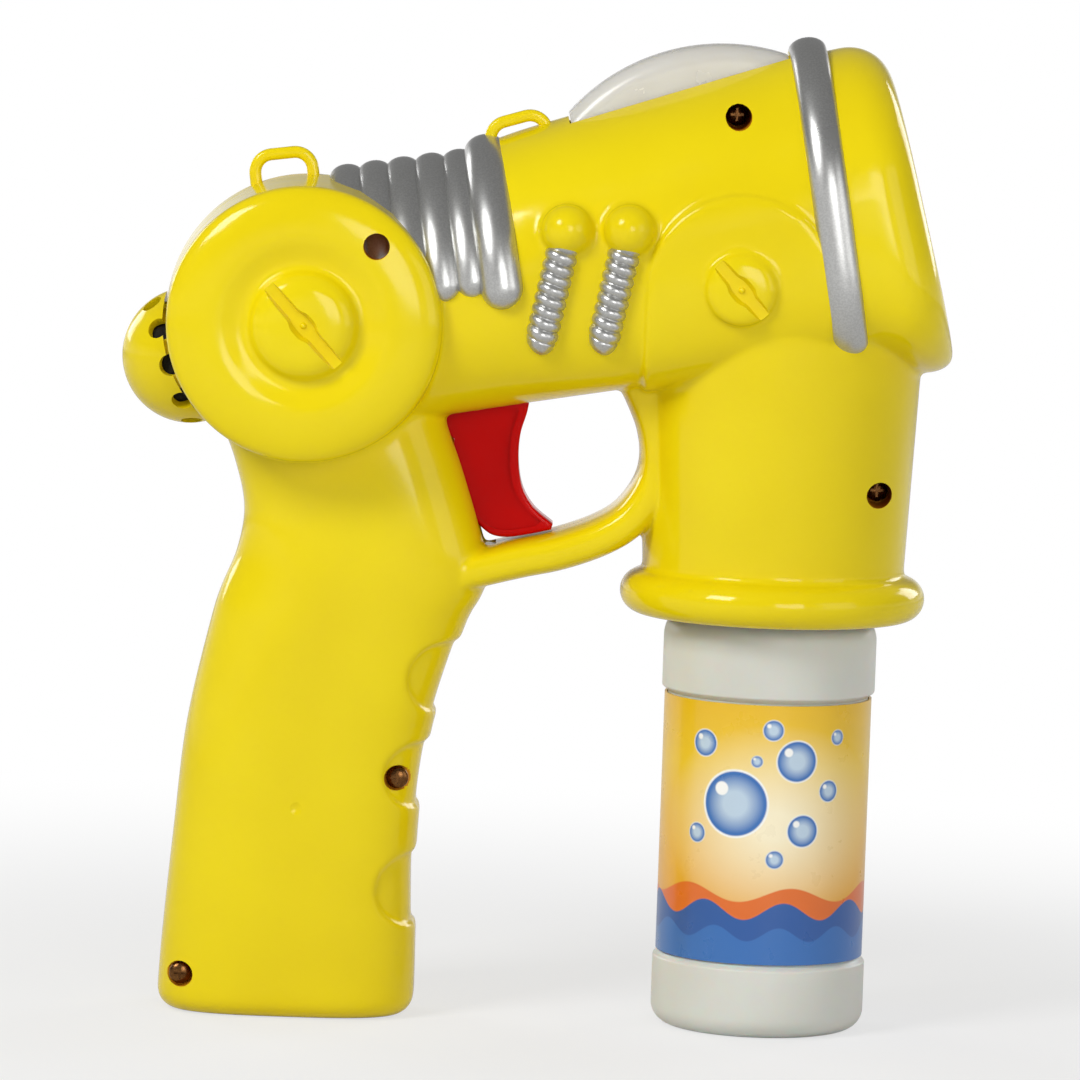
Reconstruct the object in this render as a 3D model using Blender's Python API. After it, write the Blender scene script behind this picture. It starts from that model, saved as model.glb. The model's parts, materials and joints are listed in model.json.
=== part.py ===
"""A battery bubble blower in the shape of a toy pistol, as an assembly of named pieces.

Metres, +Z up. The muzzle points along +X and the two halves of the housing meet on the plane Y = 0.
The origin is on the ground under the middle of the toy, which stands on its grip and its tank.
"""

import math

import bmesh
import bpy
from mathutils import Matrix, Vector

# Fits and walls
GAP = 0.0003
WALL = 0.0022
SEGMENTS = 20
INNER_SEGMENTS = 16

# Drum at the rear, turned about the Y axis
DRUM_X = -0.0495
DRUM_Z = 0.1507
DRUM_RADIUS = 0.03065
DRUM_DRAFT = 0.048
DRUM_EDGE_Y = 0.0294
DRUM_CREST_RADIUS = 0.019
DRUM_CREST_Y = 0.033
DRUM_DISH_RADIUS = 0.0125
DRUM_DISH_Y = 0.0315
KNOB_RADIUS = 0.0116
KNOB_RISE = 0.0045
KNOB_SLOT_WIDTH = 0.0018
KNOB_SLOT_DEPTH = 0.0018
KNOB_SLOT_ANGLE = math.radians(-49)

# Barrel, a cone whose axis climbs from the drum's centre
BARREL_ANGLE = math.radians(14.6)
BARREL_START_RADIUS = 0.0256
BARREL_TAPER = 0.0648
BARREL_LENGTH = 0.118
MUZZLE_LENGTH = 0.0155
MUZZLE_ROUND = 0.0095
MOUTH_RADIUS = 0.0212
LIP_FLARE = 0.0145

# Bellows ribs and the muzzle band, half-round mouldings over the barrel
RIB_LEAN = math.radians(9.7)
RIB_COUNT = 6
RIB_FIRST_X = 0.0118
RIB_FIRST_Z = 0.0036
RIB_PITCH = 0.00605
RIB_RADIUS = 0.00275
RIB_LAST_RADIUS = 0.00355
BELLOWS_RADIUS = 0.0295
BELLOWS_LAST_RADIUS = 0.0313
RIB_HALF_SWEEP = math.radians(84)
BAND_STATION = 0.1143
BAND_PROUD = 0.0023
BAND_HALF_WIDTH = 0.0042
BAND_HALF_SWEEP = math.radians(152)

# Tank and the holder that takes its neck
TANK_X = 0.0525
TANK_RADIUS = 0.0230
TANK_BASE_HEIGHT = 0.016
LABEL_TOP = 0.0725
TANK_BAND_TOP = 0.0845
TANK_WALL = 0.0014
TANK_EDGE = 0.0045
LABEL_THICKNESS = 0.0005
LABEL_INSET = 0.0006
NECK_RADIUS = 0.0140
NECK_BOTTOM = 0.0925
NECK_TOP = 0.1050
HOLDER_MARGIN = 0.0052
HOLDER_TAPER = 0.043
HOLDER_TOP = 0.165
FLANGE_Z = 0.0940
FLANGE_RADIUS = 0.00475

# Pads on both sides of the barrel over the holder, each with a mock screw
PAD_X = 0.0427
PAD_Z = 0.1614
PAD_RADIUS = 0.0199
PAD_RISE = 0.0018
PAD_BOTTOM_Z = 0.131
MOCK_SCREW_RADIUS = 0.0076
MOCK_SCREW_RIM = 0.0012
MOCK_SCREW_TOP_Y = 0.0338

# Ball-and-spring ornaments between the bellows and the pad
ORNAMENT_BALL_RADIUS = 0.0056
ORNAMENT_TOPS = ((0.0055, 0.1726), (0.0187, 0.1731))
ORNAMENT_LENGTH = 0.0262
ORNAMENT_LEAN = math.radians(11.5)
ORNAMENT_COILS = 8
ORNAMENT_RADIUS = 0.0032

# Grip: heights with the X of its back and of its front there
GRIP_OUTLINE = (
    (0.000, -0.0778, -0.0220),
    (0.016, -0.0770, -0.0220),
    (0.040, -0.0751, -0.0223),
    (0.0625, -0.0730, -0.0199),
    (0.085, -0.0684, -0.0135),
    (0.0925, -0.0662, -0.0098),
    (0.100, -0.0633, -0.0092),
    (0.1095, -0.0620, -0.0118),
    (0.120, -0.0645, -0.0153),
    (0.132, -0.0690, -0.0194),
    (0.145, -0.0690, -0.0194),
)
GRIP_HALF_WIDTH = 0.0175
GRIP_SQUARENESS = 3.0
GRIP_EDGE = 0.0045
FINGER_GROOVES = ((0.0203, 0.0362), (0.0458, 0.0603), (0.0662, 0.0822))
FINGER_GROOVE_DEPTH = 0.0016
FINGER_GROOVE_REACH = 0.0075

# Trigger guard, a bar from the grip to the holder, with its middle line's X and Z
GUARD_LINE = (
    (-0.0150, 0.0955),
    (-0.0040, 0.0990),
    (0.0070, 0.1025),
    (0.0165, 0.1070),
    (0.0235, 0.1145),
    (0.0265, 0.1245),
    (0.0245, 0.1340),
    (0.0190, 0.1440),
)
GUARD_HALF_THICKNESS = 0.0046
GUARD_HALF_WIDTH = 0.0068

# Screws that draw the halves together: X, Z and how far from the middle their heads sit
SCREW_DEEP_SEAT = 0.0050
SCREW_GRIP_SEAT = 0.0108
SCREW_POINTS = (
    (-0.0346, 0.1679, SCREW_DEEP_SEAT),
    (0.0410, 0.1974, SCREW_DEEP_SEAT),
    (0.0740, 0.1178, SCREW_DEEP_SEAT),
    (-0.0269, 0.0527, SCREW_GRIP_SEAT),
    (-0.0723, 0.0087, SCREW_GRIP_SEAT),
)
POST_RADIUS = 0.0037
COUNTERBORE_RADIUS = 0.0028
SCREW_HEAD_RADIUS = 0.0024
SCREW_HEAD_HEIGHT = 0.0016
SCREW_SHANK_RADIUS = 0.0012
SCREW_REACH_Y = 0.0070

# Strap loops on the top: middle X, Z where they stand, width, height and slope
LOOPS = (
    (-0.0556, 0.1800, 0.0122, 0.0068, math.radians(4)),
    (-0.0049, 0.1892, 0.0122, 0.0066, math.radians(17)),
)
LOOP_BAR_RADIUS = 0.0014
LOOP_Y = -0.0017

# Vent cap at the back of the drum
VENT_ANGLE = math.radians(200.4)
VENT_SINK = 0.00375
VENT_RADIUS = 0.0147
VENT_NECK_RADIUS = 0.0126
VENT_FLANGE_RADIUS = 0.0150
VENT_FLANGE = 0.0014
VENT_HOLE_RADIUS = 0.0023
VENT_HOLE_COUNT = 10
VENT_HOLE_TILT = math.radians(65)

# Light dome on the crest of the barrel, part of a round disc
DOME_X = 0.0389
DOME_Z = 0.1679
DOME_RADIUS = 0.0443
DOME_HALF_WIDTH = 0.0085
DOME_STATIONS = (0.064, 0.113)
DOME_SINK = 0.0038
DOME_FOOT = 0.0012
DOME_FOOT_REACH = 0.0018

LED_RADIUS = 0.0024
LAMP_SETBACK = 0.0100
BOARD_LENGTH = 0.0120
BOARD_WIDTH = 0.0080
BOARD_THICKNESS = 0.0012

# Trigger, its pin, spring and switch
PIVOT_X = -0.0040
PIVOT_Z = 0.1393
TRIGGER_HALF_WIDTH = 0.0046
TRIGGER_BACK_X = -0.0172
TRIGGER_HUB_RADIUS = 0.0034
TRIGGER_EDGE = 0.0010
TRIGGER_PIN_RADIUS = 0.0014
TRIGGER_PIN_HALF_LENGTH = 0.0090
PIVOT_BOSS_RADIUS = 0.0032
PIVOT_BOSS_DEPTH = 0.0150
SLOT_FLOOR_Z = 0.1028
SLOT_FRONT_X = -0.0075
SPRING_Z = 0.1120
SPRING_RADIUS = 0.0026
SPRING_WIRE_RADIUS = 0.0004
SPRING_TURNS = 6
STOP_RIB_X = -0.0340
STOP_RIB_THICKNESS = 0.0018
STOP_RIB_Z = (0.1060, 0.1258)
SWITCH_Z = 0.1230
SWITCH_SIZE = (0.0095, 0.0080, 0.0085)
PLUNGER_RADIUS = 0.0016
PLUNGER_LENGTH = 0.0110
PLUNGER_TRAVEL = 0.0045

# Gear train and blower, on shafts along Y
MODULE = 0.0010
PRESSURE_ANGLE = math.radians(20)
ADDENDUM = 0.75
DEDENDUM = 1.20
BACKLASH = 0.00022
PINION_TEETH = 10
IDLER_TEETH = 24
PUMP_TEETH = 22
IDLER_BEARING = math.radians(-15)
PUMP_BEARING = math.radians(40)
AXLE_RADIUS = 0.0010
GEAR_WIDTH = 0.0024
PLATE_THICKNESS = 0.0015
CHASSIS_Y = -0.0079
INLET_RADIUS = 0.0080
MOTOR_RADIUS = 0.0102
MOTOR_LENGTH = 0.0250
WHEEL_RADIUS = 0.0178
WHEEL_DEPTH = 0.0105
WHEEL_BLADES = 10
BLADE_INNER_RADIUS = 0.0085
BLADE_THICKNESS = 0.0009
BLADE_SWEEP = math.radians(38)

# Peristaltic pump and its tube
TUBE_RADIUS = 0.0020
TRACK_RADIUS = 0.0116
TRACK_WALL = 0.0016
TRACK_HEIGHT = 0.0058
ROTOR_LOBES = 3
ROTOR_SWING = 0.0022
ROTOR_WIDTH = 0.0050
HUB_RADIUS = 0.0024

# Bubble nozzle, drip tray and tank fittings
NOZZLE_STATION = 0.1050
NOZZLE_RADIUS = 0.0130
NOZZLE_LIP = 0.0100
NOZZLE_FEED_HEIGHT = 0.0168
TRAY_Z = 0.1280
TRAY_FALL = 0.0055
TRAY_DRAIN_RADIUS = 0.0070
SOCKET_TOP = 0.1085
SOCKET_WALL = 0.0019
SOCKET_PLAY = 0.0006
DIP_RADIUS = 0.0021
DIP_BORE = 0.0012
DIP_BOTTOM = 0.0060
DIP_NIPPLE = 0.0035

# Cells and their compartment in the grip
CELL_RADIUS = 0.0071
CELL_LENGTH = 0.0492
CELL_NUB_RADIUS = 0.0027
CELL_NUB_HEIGHT = 0.0010
CELL_BOTTOM = 0.0053
CELL_CORNER_ROOM = 1.364 * WALL
CELL_OUTER_Y = GRIP_HALF_WIDTH - CELL_RADIUS - CELL_CORNER_ROOM
CELL_INNER_Y = -0.0056
CELL_PLACES = ((-0.0585, CELL_OUTER_Y), (-0.0510, CELL_INNER_Y), (-0.0435, CELL_OUTER_Y))
CONTACT_THICKNESS = 0.0005
DOOR_X = (-0.0660, -0.0350)
DOOR_Z = (0.0075, 0.0640)
DOOR_SCREW = (-0.0505, 0.0608)
DOOR_BOSS_RADIUS = 0.0032

BARREL_DIRECTION = Vector((math.cos(BARREL_ANGLE), 0.0, math.sin(BARREL_ANGLE)))
BARREL_UP = Vector((-math.sin(BARREL_ANGLE), 0.0, math.cos(BARREL_ANGLE)))
SIDEWAYS = Vector((0.0, 1.0, 0.0))
UPWARD = Vector((0.0, 0.0, 1.0))
DRUM_CENTRE = Vector((DRUM_X, 0.0, DRUM_Z))

# Places worked out from the sizes above
VENT_DISTANCE = DRUM_RADIUS - VENT_SINK
LAMP_STATION = sum(DOME_STATIONS) / 2 - LAMP_SETBACK
IDLER_REACH = MODULE * (PINION_TEETH + IDLER_TEETH) / 2
IDLER_X = DRUM_X + IDLER_REACH * math.cos(IDLER_BEARING)
IDLER_Z = DRUM_Z + IDLER_REACH * math.sin(IDLER_BEARING)
PUMP_REACH = MODULE * (PINION_TEETH + PUMP_TEETH) / 2
PUMP_X = IDLER_X + PUMP_REACH * math.cos(PUMP_BEARING)
PUMP_Z = IDLER_Z + PUMP_REACH * math.sin(PUMP_BEARING)
FIRST_LAYER_Y = CHASSIS_Y + PLATE_THICKNESS + GAP
SECOND_LAYER_Y = FIRST_LAYER_Y + GEAR_WIDTH + GAP
BRACKET_Y = SECOND_LAYER_Y + GEAR_WIDTH + GAP
MOTOR_Y = BRACKET_Y + PLATE_THICKNESS + GAP
CELL_CEILING = CELL_BOTTOM + CELL_LENGTH + CELL_NUB_HEIGHT + CONTACT_THICKNESS + 2 * GAP


def clear_scene():
    for item in list(bpy.data.objects):
        bpy.data.objects.remove(item)


def plastic(name, colour, roughness=0.3, metallic=0.0, alpha=1.0):
    """A Principled material of one colour."""
    material = bpy.data.materials.new(name)
    material.use_nodes = True
    shader = material.node_tree.nodes["Principled BSDF"]
    shader.inputs["Base Color"].default_value = (*colour, 1.0)
    shader.inputs["Roughness"].default_value = roughness
    shader.inputs["Metallic"].default_value = metallic
    shader.inputs["Alpha"].default_value = alpha
    return material


def make(name, bm, material=None):
    """An object from a bmesh, with its faces turned outwards."""
    bmesh.ops.remove_doubles(bm, verts=bm.verts, dist=1e-7)
    bmesh.ops.recalc_face_normals(bm, faces=bm.faces)
    bmesh.ops.triangulate(bm, faces=bm.faces)
    mesh = bpy.data.meshes.new(name)
    bm.to_mesh(mesh)
    bm.free()
    piece = bpy.data.objects.new(name, mesh)
    bpy.context.scene.collection.objects.link(piece)
    if material:
        mesh.materials.append(material)
    return piece


def shade(piece, angle=math.radians(35)):
    piece.data.shade_smooth()
    piece.data.set_sharp_from_angle(angle=angle)
    return piece


def combine(piece, other, operation):
    """Joins another solid to a piece, or takes it away, and drops the other.

    The exact solver leaves open edges in the many-faced housing, so the manifold one does the work.
    """
    modifier = piece.modifiers.new(operation.lower(), "BOOLEAN")
    modifier.operation = operation
    modifier.solver = "MANIFOLD"
    modifier.object = other
    graph = bpy.context.evaluated_depsgraph_get()
    mesh = bpy.data.meshes.new_from_object(piece.evaluated_get(graph))
    piece.modifiers.clear()
    old = piece.data
    mesh.name = piece.name
    piece.data = mesh
    bpy.data.meshes.remove(old)
    bpy.data.objects.remove(other)
    return piece


def merge_flat_faces(piece, angle=math.radians(1.0)):
    """Joins the faces that lie in one plane, which cuts leave in many strips."""
    bm = bmesh.new()
    bm.from_mesh(piece.data)
    bmesh.ops.dissolve_degenerate(bm, dist=GAP / 10, edges=bm.edges)
    bmesh.ops.dissolve_limit(bm, angle_limit=angle, verts=bm.verts, edges=bm.edges)
    bmesh.ops.triangulate(bm, faces=bm.faces)
    bm.to_mesh(piece.data)
    bm.free()
    return piece


def join(piece, *others):
    for other in others:
        combine(piece, other, "UNION")
    return piece


def cut(piece, *others):
    for other in others:
        combine(piece, other, "DIFFERENCE")
    return piece


def loft(name, rings, material=None):
    """A closed solid through rings of points that all have the same count."""
    bm = bmesh.new()
    rows = [[bm.verts.new(point) for point in ring] for ring in rings]
    for low, high in zip(rows, rows[1:]):
        for i in range(len(low)):
            j = (i + 1) % len(low)
            bm.faces.new((low[i], low[j], high[j], high[i]))
    bm.faces.new(rows[0])
    bm.faces.new(rows[-1])
    return make(name, bm, material)


def turned(name, profile, centre, axis=UPWARD, segments=SEGMENTS, material=None):
    """A solid of revolution. The profile holds (radius, height along the axis)."""
    frame = axis.to_track_quat("Z", "Y").to_matrix().to_4x4()
    bm = bmesh.new()
    verts = [bm.verts.new((radius, 0.0, height)) for radius, height in profile]
    edges = [bm.edges.new(pair) for pair in zip(verts, verts[1:])]
    bmesh.ops.spin(
        bm, geom=verts + edges, cent=(0, 0, 0), axis=(0, 0, 1),
        angle=math.tau, steps=segments, use_merge=True,
    )
    bmesh.ops.remove_doubles(bm, verts=bm.verts, dist=1e-7)
    bmesh.ops.transform(bm, matrix=Matrix.Translation(centre) @ frame, verts=bm.verts)
    return make(name, bm, material)


def rod(name, radius, start, end, segments=24, material=None):
    """A plain round bar between two points."""
    along = Vector(end) - Vector(start)
    profile = ((0.0, 0.0), (radius, 0.0), (radius, along.length), (0.0, along.length))
    return turned(name, profile, Vector(start), along.normalized(), segments, material)


def pipe(name, radius, bore, start, end, segments=24, material=None):
    """A round bar with a hole through it."""
    along = Vector(end) - Vector(start)
    length = along.length
    profile = ((bore, 0.0), (radius, 0.0), (radius, length), (bore, length), (bore, 0.0))
    return turned(name, profile, Vector(start), along.normalized(), segments, material)


def prism(name, outline, low_y, high_y, material=None):
    """An outline of (x, z) points drawn out along Y."""
    low = [Vector((x, low_y, z)) for x, z in outline]
    high = [Vector((x, high_y, z)) for x, z in outline]
    return loft(name, (low, high), material)


def block(name, low, high, material=None):
    bm = bmesh.new()
    bmesh.ops.create_cube(bm, size=1.0)
    size = Vector(high) - Vector(low)
    middle = (Vector(high) + Vector(low)) / 2
    placing = Matrix.Translation(middle) @ Matrix.Diagonal((*size, 1.0))
    bmesh.ops.transform(bm, matrix=placing, verts=bm.verts)
    return make(name, bm, material)


def arc(centre, radius, start, end, steps):
    """Points (x, z) along an arc, both ends included."""
    x, z = centre
    angles = [start + (end - start) * i / steps for i in range(steps + 1)]
    return [(x + radius * math.cos(a), z + radius * math.sin(a)) for a in angles]


def smooth_line(points, per_span=4):
    """A Catmull-Rom curve through the points, as a list of vectors."""
    points = [Vector(p) for p in points]
    padded = [2 * points[0] - points[1], *points, 2 * points[-1] - points[-2]]
    line = []
    for a, b, c, d in zip(padded, padded[1:], padded[2:], padded[3:]):
        for i in range(per_span):
            t = i / per_span
            line.append(0.5 * (2 * b + (c - a) * t + (2 * a - 5 * b + 4 * c - d) * t * t
                               + (3 * b - a - 3 * c + d) * t ** 3))
    return [*line, points[-1]]


def swept_rings(line, across, up_size, sides, blunt=0):
    """Rings round a line. across is the half width to the side and up_size the half thickness."""
    rings = []
    count = len(line)
    side = None
    for i, point in enumerate(line):
        along = (line[min(i + 1, count - 1)] - line[max(i - 1, 0)]).normalized()
        side = SIDEWAYS if side is None else side
        side = (side - along * side.dot(along)).normalized()
        up = along.cross(side)
        turns = [math.tau * k / sides for k in range(sides)]
        rings.append([point + side * across * math.cos(t) + up * up_size * math.sin(t) for t in turns])
    if not blunt:
        return rings

    def cap(ring, outward, middle):
        caps = []
        for step in range(1, blunt + 1):
            turn = math.pi / 2 * step / (blunt + 0.4)
            caps.append([
                middle + (p - middle) * math.cos(turn) + outward * up_size * math.sin(turn) for p in ring
            ])
        return caps

    first = (line[0] - line[1]).normalized()
    last = (line[-1] - line[-2]).normalized()
    return [*reversed(cap(rings[0], first, line[0])), *rings, *cap(rings[-1], last, line[-1])]


def swept(name, line, across, up_size=None, sides=10, blunt=0, material=None):
    return loft(name, swept_rings(line, across, up_size or across, sides, blunt), material)


def drum_radius(y):
    return DRUM_RADIUS - DRUM_DRAFT * abs(y)


def barrel_radius(station):
    return BARREL_START_RADIUS + BARREL_TAPER * station


def barrel_point(station, height=0.0, side=0.0):
    """A point by its way along the barrel's axis, above it and to its side."""
    return DRUM_CENTRE + BARREL_DIRECTION * station + BARREL_UP * height + SIDEWAYS * side


def barrel_ring(station, radius, flare=0.0, sides=SEGMENTS):
    """A ring round the barrel's axis, drawn out at the bottom by the flare."""
    ring = []
    for k in range(sides):
        turn = math.tau * k / sides
        reach = radius + flare * max(0.0, -math.cos(turn)) ** 4
        ring.append(barrel_point(station, reach * math.cos(turn), reach * math.sin(turn)))
    return ring


def barrel_surface_y(x, z):
    """How far out to the side the barrel's surface is at a point of its side view."""
    offset = Vector((x, 0.0, z)) - DRUM_CENTRE
    radius = barrel_radius(offset.dot(BARREL_DIRECTION))
    return math.sqrt(radius ** 2 - offset.dot(BARREL_UP) ** 2)


def holder_radius(z):
    return TANK_RADIUS + HOLDER_MARGIN + HOLDER_TAPER * (z - FLANGE_Z)


def both_ways(half):
    """A profile of (radius, y), from the rim to the axis on one side, carried on to the other."""
    return [(radius, -y) for radius, y in reversed(half)] + list(half[1:])


def drum_form(inset, sides=SEGMENTS, steps=3):
    edge = drum_radius(DRUM_EDGE_Y) - inset
    crest_y = DRUM_CREST_Y - inset
    dish_y = DRUM_DISH_Y - inset
    half = [(DRUM_RADIUS - inset, 0.0)]
    for i in range(steps + 1):
        turn = math.pi / 2 * i / steps
        half.append((
            DRUM_CREST_RADIUS + (edge - DRUM_CREST_RADIUS) * math.cos(turn),
            DRUM_EDGE_Y - inset + (crest_y - DRUM_EDGE_Y + inset) * math.sin(turn),
        ))
    half.append((DRUM_DISH_RADIUS, dish_y))
    if not inset:
        half.insert(-1, ((DRUM_CREST_RADIUS + DRUM_DISH_RADIUS) / 2, (crest_y * 2 + dish_y) / 3))
        half += knob_profile(KNOB_RADIUS, KNOB_RISE, dish_y)
    else:
        half.append((0.0, dish_y))
    return turned("drum_form", both_ways(half), DRUM_CENTRE, SIDEWAYS, sides)


def knob_profile(radius, rise, base_y):
    """A low dome with a steep rim, from its foot to the axis."""
    steps = 3
    turns = [math.pi / 2 * i / steps for i in range(steps + 1)]
    return [(radius * math.cos(t) ** 0.7 if i < steps else 0.0, base_y + rise * math.sin(t))
            for i, t in enumerate(turns)]


def barrel_form(inset, sides=SEGMENTS):
    """The barrel and its rounded muzzle. The hollow one runs out through the mouth."""
    stations = (0.0, BARREL_LENGTH / 2, BARREL_LENGTH)
    rings = [barrel_ring(s, barrel_radius(s) - inset, 0.0, sides) for s in stations]
    end = BARREL_LENGTH + MUZZLE_LENGTH
    start_round = end - MUZZLE_ROUND
    widest = barrel_radius(BARREL_LENGTH) - inset
    flare = 0.0 if inset else LIP_FLARE
    for i in range(4):
        turn = math.pi / 2 * i / 3
        station = start_round + (MUZZLE_ROUND - inset) * math.sin(turn)
        radius = widest - MUZZLE_ROUND * (1.0 - math.cos(turn))
        rings.append(barrel_ring(station, radius, flare * (0.45 + 0.55 * i / 3), sides))
    if inset:
        rings.append(barrel_ring(end - inset, MOUTH_RADIUS, 0.0, sides))
        rings.append(barrel_ring(end + MUZZLE_ROUND, MOUTH_RADIUS, 0.0, sides))
    return loft("barrel_form", rings)


def holder_form(inset, sides=SEGMENTS):
    """The upright socket for the tank with the round flange at its foot."""
    low = holder_radius(FLANGE_Z) - inset
    if inset:
        bottom = FLANGE_Z - 2 * FLANGE_RADIUS
        profile = [(0.0, bottom), (low, bottom), (low, FLANGE_Z)]
    else:
        profile = [(0.0, FLANGE_Z - FLANGE_RADIUS)]
        profile += arc((low, FLANGE_Z), FLANGE_RADIUS, -math.pi / 2, math.pi / 2, 5)
    top = HOLDER_TOP - inset
    profile += [(holder_radius(top) - inset, top), (0.0, top)]
    return turned("holder_form", profile, Vector((TANK_X, 0.0, 0.0)), UPWARD, sides)


def grip_section(z, inset, sides=SEGMENTS):
    """The ring of the grip at a height, a squarish oval between its back and its front."""
    for low, high in zip(GRIP_OUTLINE, GRIP_OUTLINE[1:]):
        if z <= high[0]:
            break
    share = (z - low[0]) / (high[0] - low[0])
    back = low[1] + (high[1] - low[1]) * share
    front = low[2] + (high[2] - low[2]) * share
    middle = (back + front) / 2
    half_length = (front - back) / 2 - inset
    half_width = GRIP_HALF_WIDTH - inset
    ring = []
    for k in range(sides):
        turn = math.tau * k / sides
        c, s = math.cos(turn), math.sin(turn)
        power = 2.0 / GRIP_SQUARENESS
        ring.append(Vector((
            middle + half_length * math.copysign(abs(c) ** power, c),
            half_width * math.copysign(abs(s) ** power, s),
            z,
        )))
    return ring


def grip_form(inset, sides=SEGMENTS):
    """The grip, with its edge rounded where it stands on the ground."""
    rings = []
    for i in range(4):
        turn = math.pi / 2 * i / 3
        more = GRIP_EDGE * (1.0 - math.sin(turn))
        rings.append(grip_section(inset + GRIP_EDGE * (1.0 - math.cos(turn)), inset + more, sides))
    for z, _, _ in GRIP_OUTLINE[1:]:
        rings.append(grip_section(z, inset, sides))
    return loft("grip_form", rings)


def finger_groove(low, high):
    """A cutter that lowers the front of the grip between two heights, with a round end on its sides."""
    middle = (low + high) / 2
    half = (high - low) / 2
    front = grip_front(middle)
    outline = [(front - FINGER_GROOVE_REACH * math.sin(t), middle + half * math.cos(t))
               for t in [math.pi * i / 6 for i in range(7)]]
    outline += [(front + half, low), (front + half, high)]
    groove = prism("finger_groove", outline, -2 * GRIP_HALF_WIDTH, 2 * GRIP_HALF_WIDTH)
    return cut(groove, grip_form(FINGER_GROOVE_DEPTH))


def grip_front(z):
    return max(p.x for p in grip_section(z, 0.0))


def pad_form():
    """The arched pads over the holder, a step up from the barrel that follows its round on both sides."""
    outline = arc((PAD_X, PAD_Z), PAD_RADIUS, 0.0, math.pi, 12)
    outline += [(PAD_X - PAD_RADIUS, PAD_BOTTOM_Z), (PAD_X + PAD_RADIUS, PAD_BOTTOM_Z)]
    pad = prism("pad_form", outline, -2 * PAD_RADIUS, 2 * PAD_RADIUS)
    ends = (0.0, BARREL_LENGTH + PAD_RADIUS)
    sleeve = loft("pad_sleeve", [barrel_ring(s, barrel_radius(s) + PAD_RISE) for s in ends])
    return combine(pad, sleeve, "INTERSECT")


def mock_screw(side):
    base = barrel_surface_y(PAD_X, PAD_Z - MOCK_SCREW_RADIUS)
    rim = MOCK_SCREW_TOP_Y - MOCK_SCREW_RIM
    profile = [(0.0, base), *knob_profile(MOCK_SCREW_RADIUS, MOCK_SCREW_RIM, rim)]
    profile.insert(1, (MOCK_SCREW_RADIUS, base))
    return turned("mock_screw", profile, Vector((PAD_X, 0.0, PAD_Z)), SIDEWAYS * side, 14)


def knob_slot(x, z, radius, top_y, side):
    """The cutter for a slot across a knob, with a round widening in its middle."""
    slot = block(
        "knob_slot",
        (-0.85 * radius, top_y - KNOB_SLOT_DEPTH, -KNOB_SLOT_WIDTH / 2),
        (0.85 * radius, top_y + KNOB_SLOT_DEPTH, KNOB_SLOT_WIDTH / 2),
    )
    eye = rod(
        "knob_eye", 1.35 * KNOB_SLOT_WIDTH,
        (0.0, top_y - KNOB_SLOT_DEPTH * 0.98, 0.0), (0.0, top_y + KNOB_SLOT_DEPTH, 0.0), 8,
    )
    join(slot, eye)
    turn = Matrix.Rotation(-KNOB_SLOT_ANGLE, 4, "Y")
    slot.data.transform(Matrix.Translation((x, 0.0, z)) @ turn)
    if side < 0:
        slot.data.transform(Matrix.Scale(-1.0, 4, SIDEWAYS))
        slot.data.flip_normals()
    return slot


def round_moulding(name, centre, lean, radius, half_sweep, half_height, half_width, steps):
    """A half-round bar bent over the barrel in a plane that leans to the rear."""
    up = Vector((-math.sin(lean), 0.0, math.cos(lean)))
    turns = [half_sweep * (2.0 * i / steps - 1.0) for i in range(steps + 1)]
    line = [centre + up * radius * math.cos(t) + SIDEWAYS * radius * math.sin(t) for t in turns]
    return swept(name, line, half_height, half_width, 6, 1)


def bellows_rib(index):
    last = index == RIB_COUNT - 1
    way = RIB_PITCH * index
    centre = DRUM_CENTRE + Vector((
        RIB_FIRST_X + way * math.cos(RIB_LEAN), 0.0, RIB_FIRST_Z + way * math.sin(RIB_LEAN),
    ))
    size = RIB_LAST_RADIUS if last else RIB_RADIUS
    reach = (BELLOWS_LAST_RADIUS if last else BELLOWS_RADIUS) - size
    return round_moulding("rib", centre, RIB_LEAN, reach, RIB_HALF_SWEEP, size, size, 8)


def muzzle_band():
    reach = barrel_radius(BAND_STATION) - BAND_PROUD * 0.2
    return round_moulding(
        "band", barrel_point(BAND_STATION), RIB_LEAN, reach, BAND_HALF_SWEEP,
        BAND_PROUD * 1.2, BAND_HALF_WIDTH, 20,
    )


def ornament(top, side):
    """A ball over a coiled bar, both lying on the side of the barrel."""
    x, z = top
    steps = 2 * ORNAMENT_COILS + 1
    line = []
    sizes = []
    for i in range(steps):
        way = ORNAMENT_LENGTH * i / (steps - 1)
        px = x - way * math.sin(ORNAMENT_LEAN)
        pz = z - way * math.cos(ORNAMENT_LEAN)
        line.append(Vector((px, side * barrel_surface_y(px, pz), pz)))
        sizes.append(ORNAMENT_RADIUS * (1.0 if i % 2 else 0.78))
    sizes[-1] *= 0.5
    rings = swept_rings(line, 1.0, 1.0, 6)
    rings = [[p + (q - p) * size for q in ring] for p, ring, size in zip(line, rings, sizes)]
    bar = loft("ornament_bar", rings)
    round_side = arc((0.0, 0.0), ORNAMENT_BALL_RADIUS, -math.pi / 2, math.pi / 2, 4)
    return join(bar, turned("ornament_ball", round_side, line[0], SIDEWAYS, 8))


def strap_loop(x, z, width, height, slope):
    """A small staple moulded on the top, for a cord."""
    along = Vector((math.cos(slope), 0.0, math.sin(slope)))
    up = Vector((-math.sin(slope), 0.0, math.cos(slope)))
    foot = Vector((x, LOOP_Y, z))
    bend = 2.2 * LOOP_BAR_RADIUS
    half = width / 2
    corners = [(-half, -height), (-half, height - bend), (-half + bend * 0.3, height - bend * 0.3),
               (-half + bend, height), (half - bend, height), (half - bend * 0.3, height - bend * 0.3),
               (half, height - bend), (half, -height)]
    line = [foot + along * a + up * b for a, b in corners]
    return swept("strap_loop", line, LOOP_BAR_RADIUS, sides=8)


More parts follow.
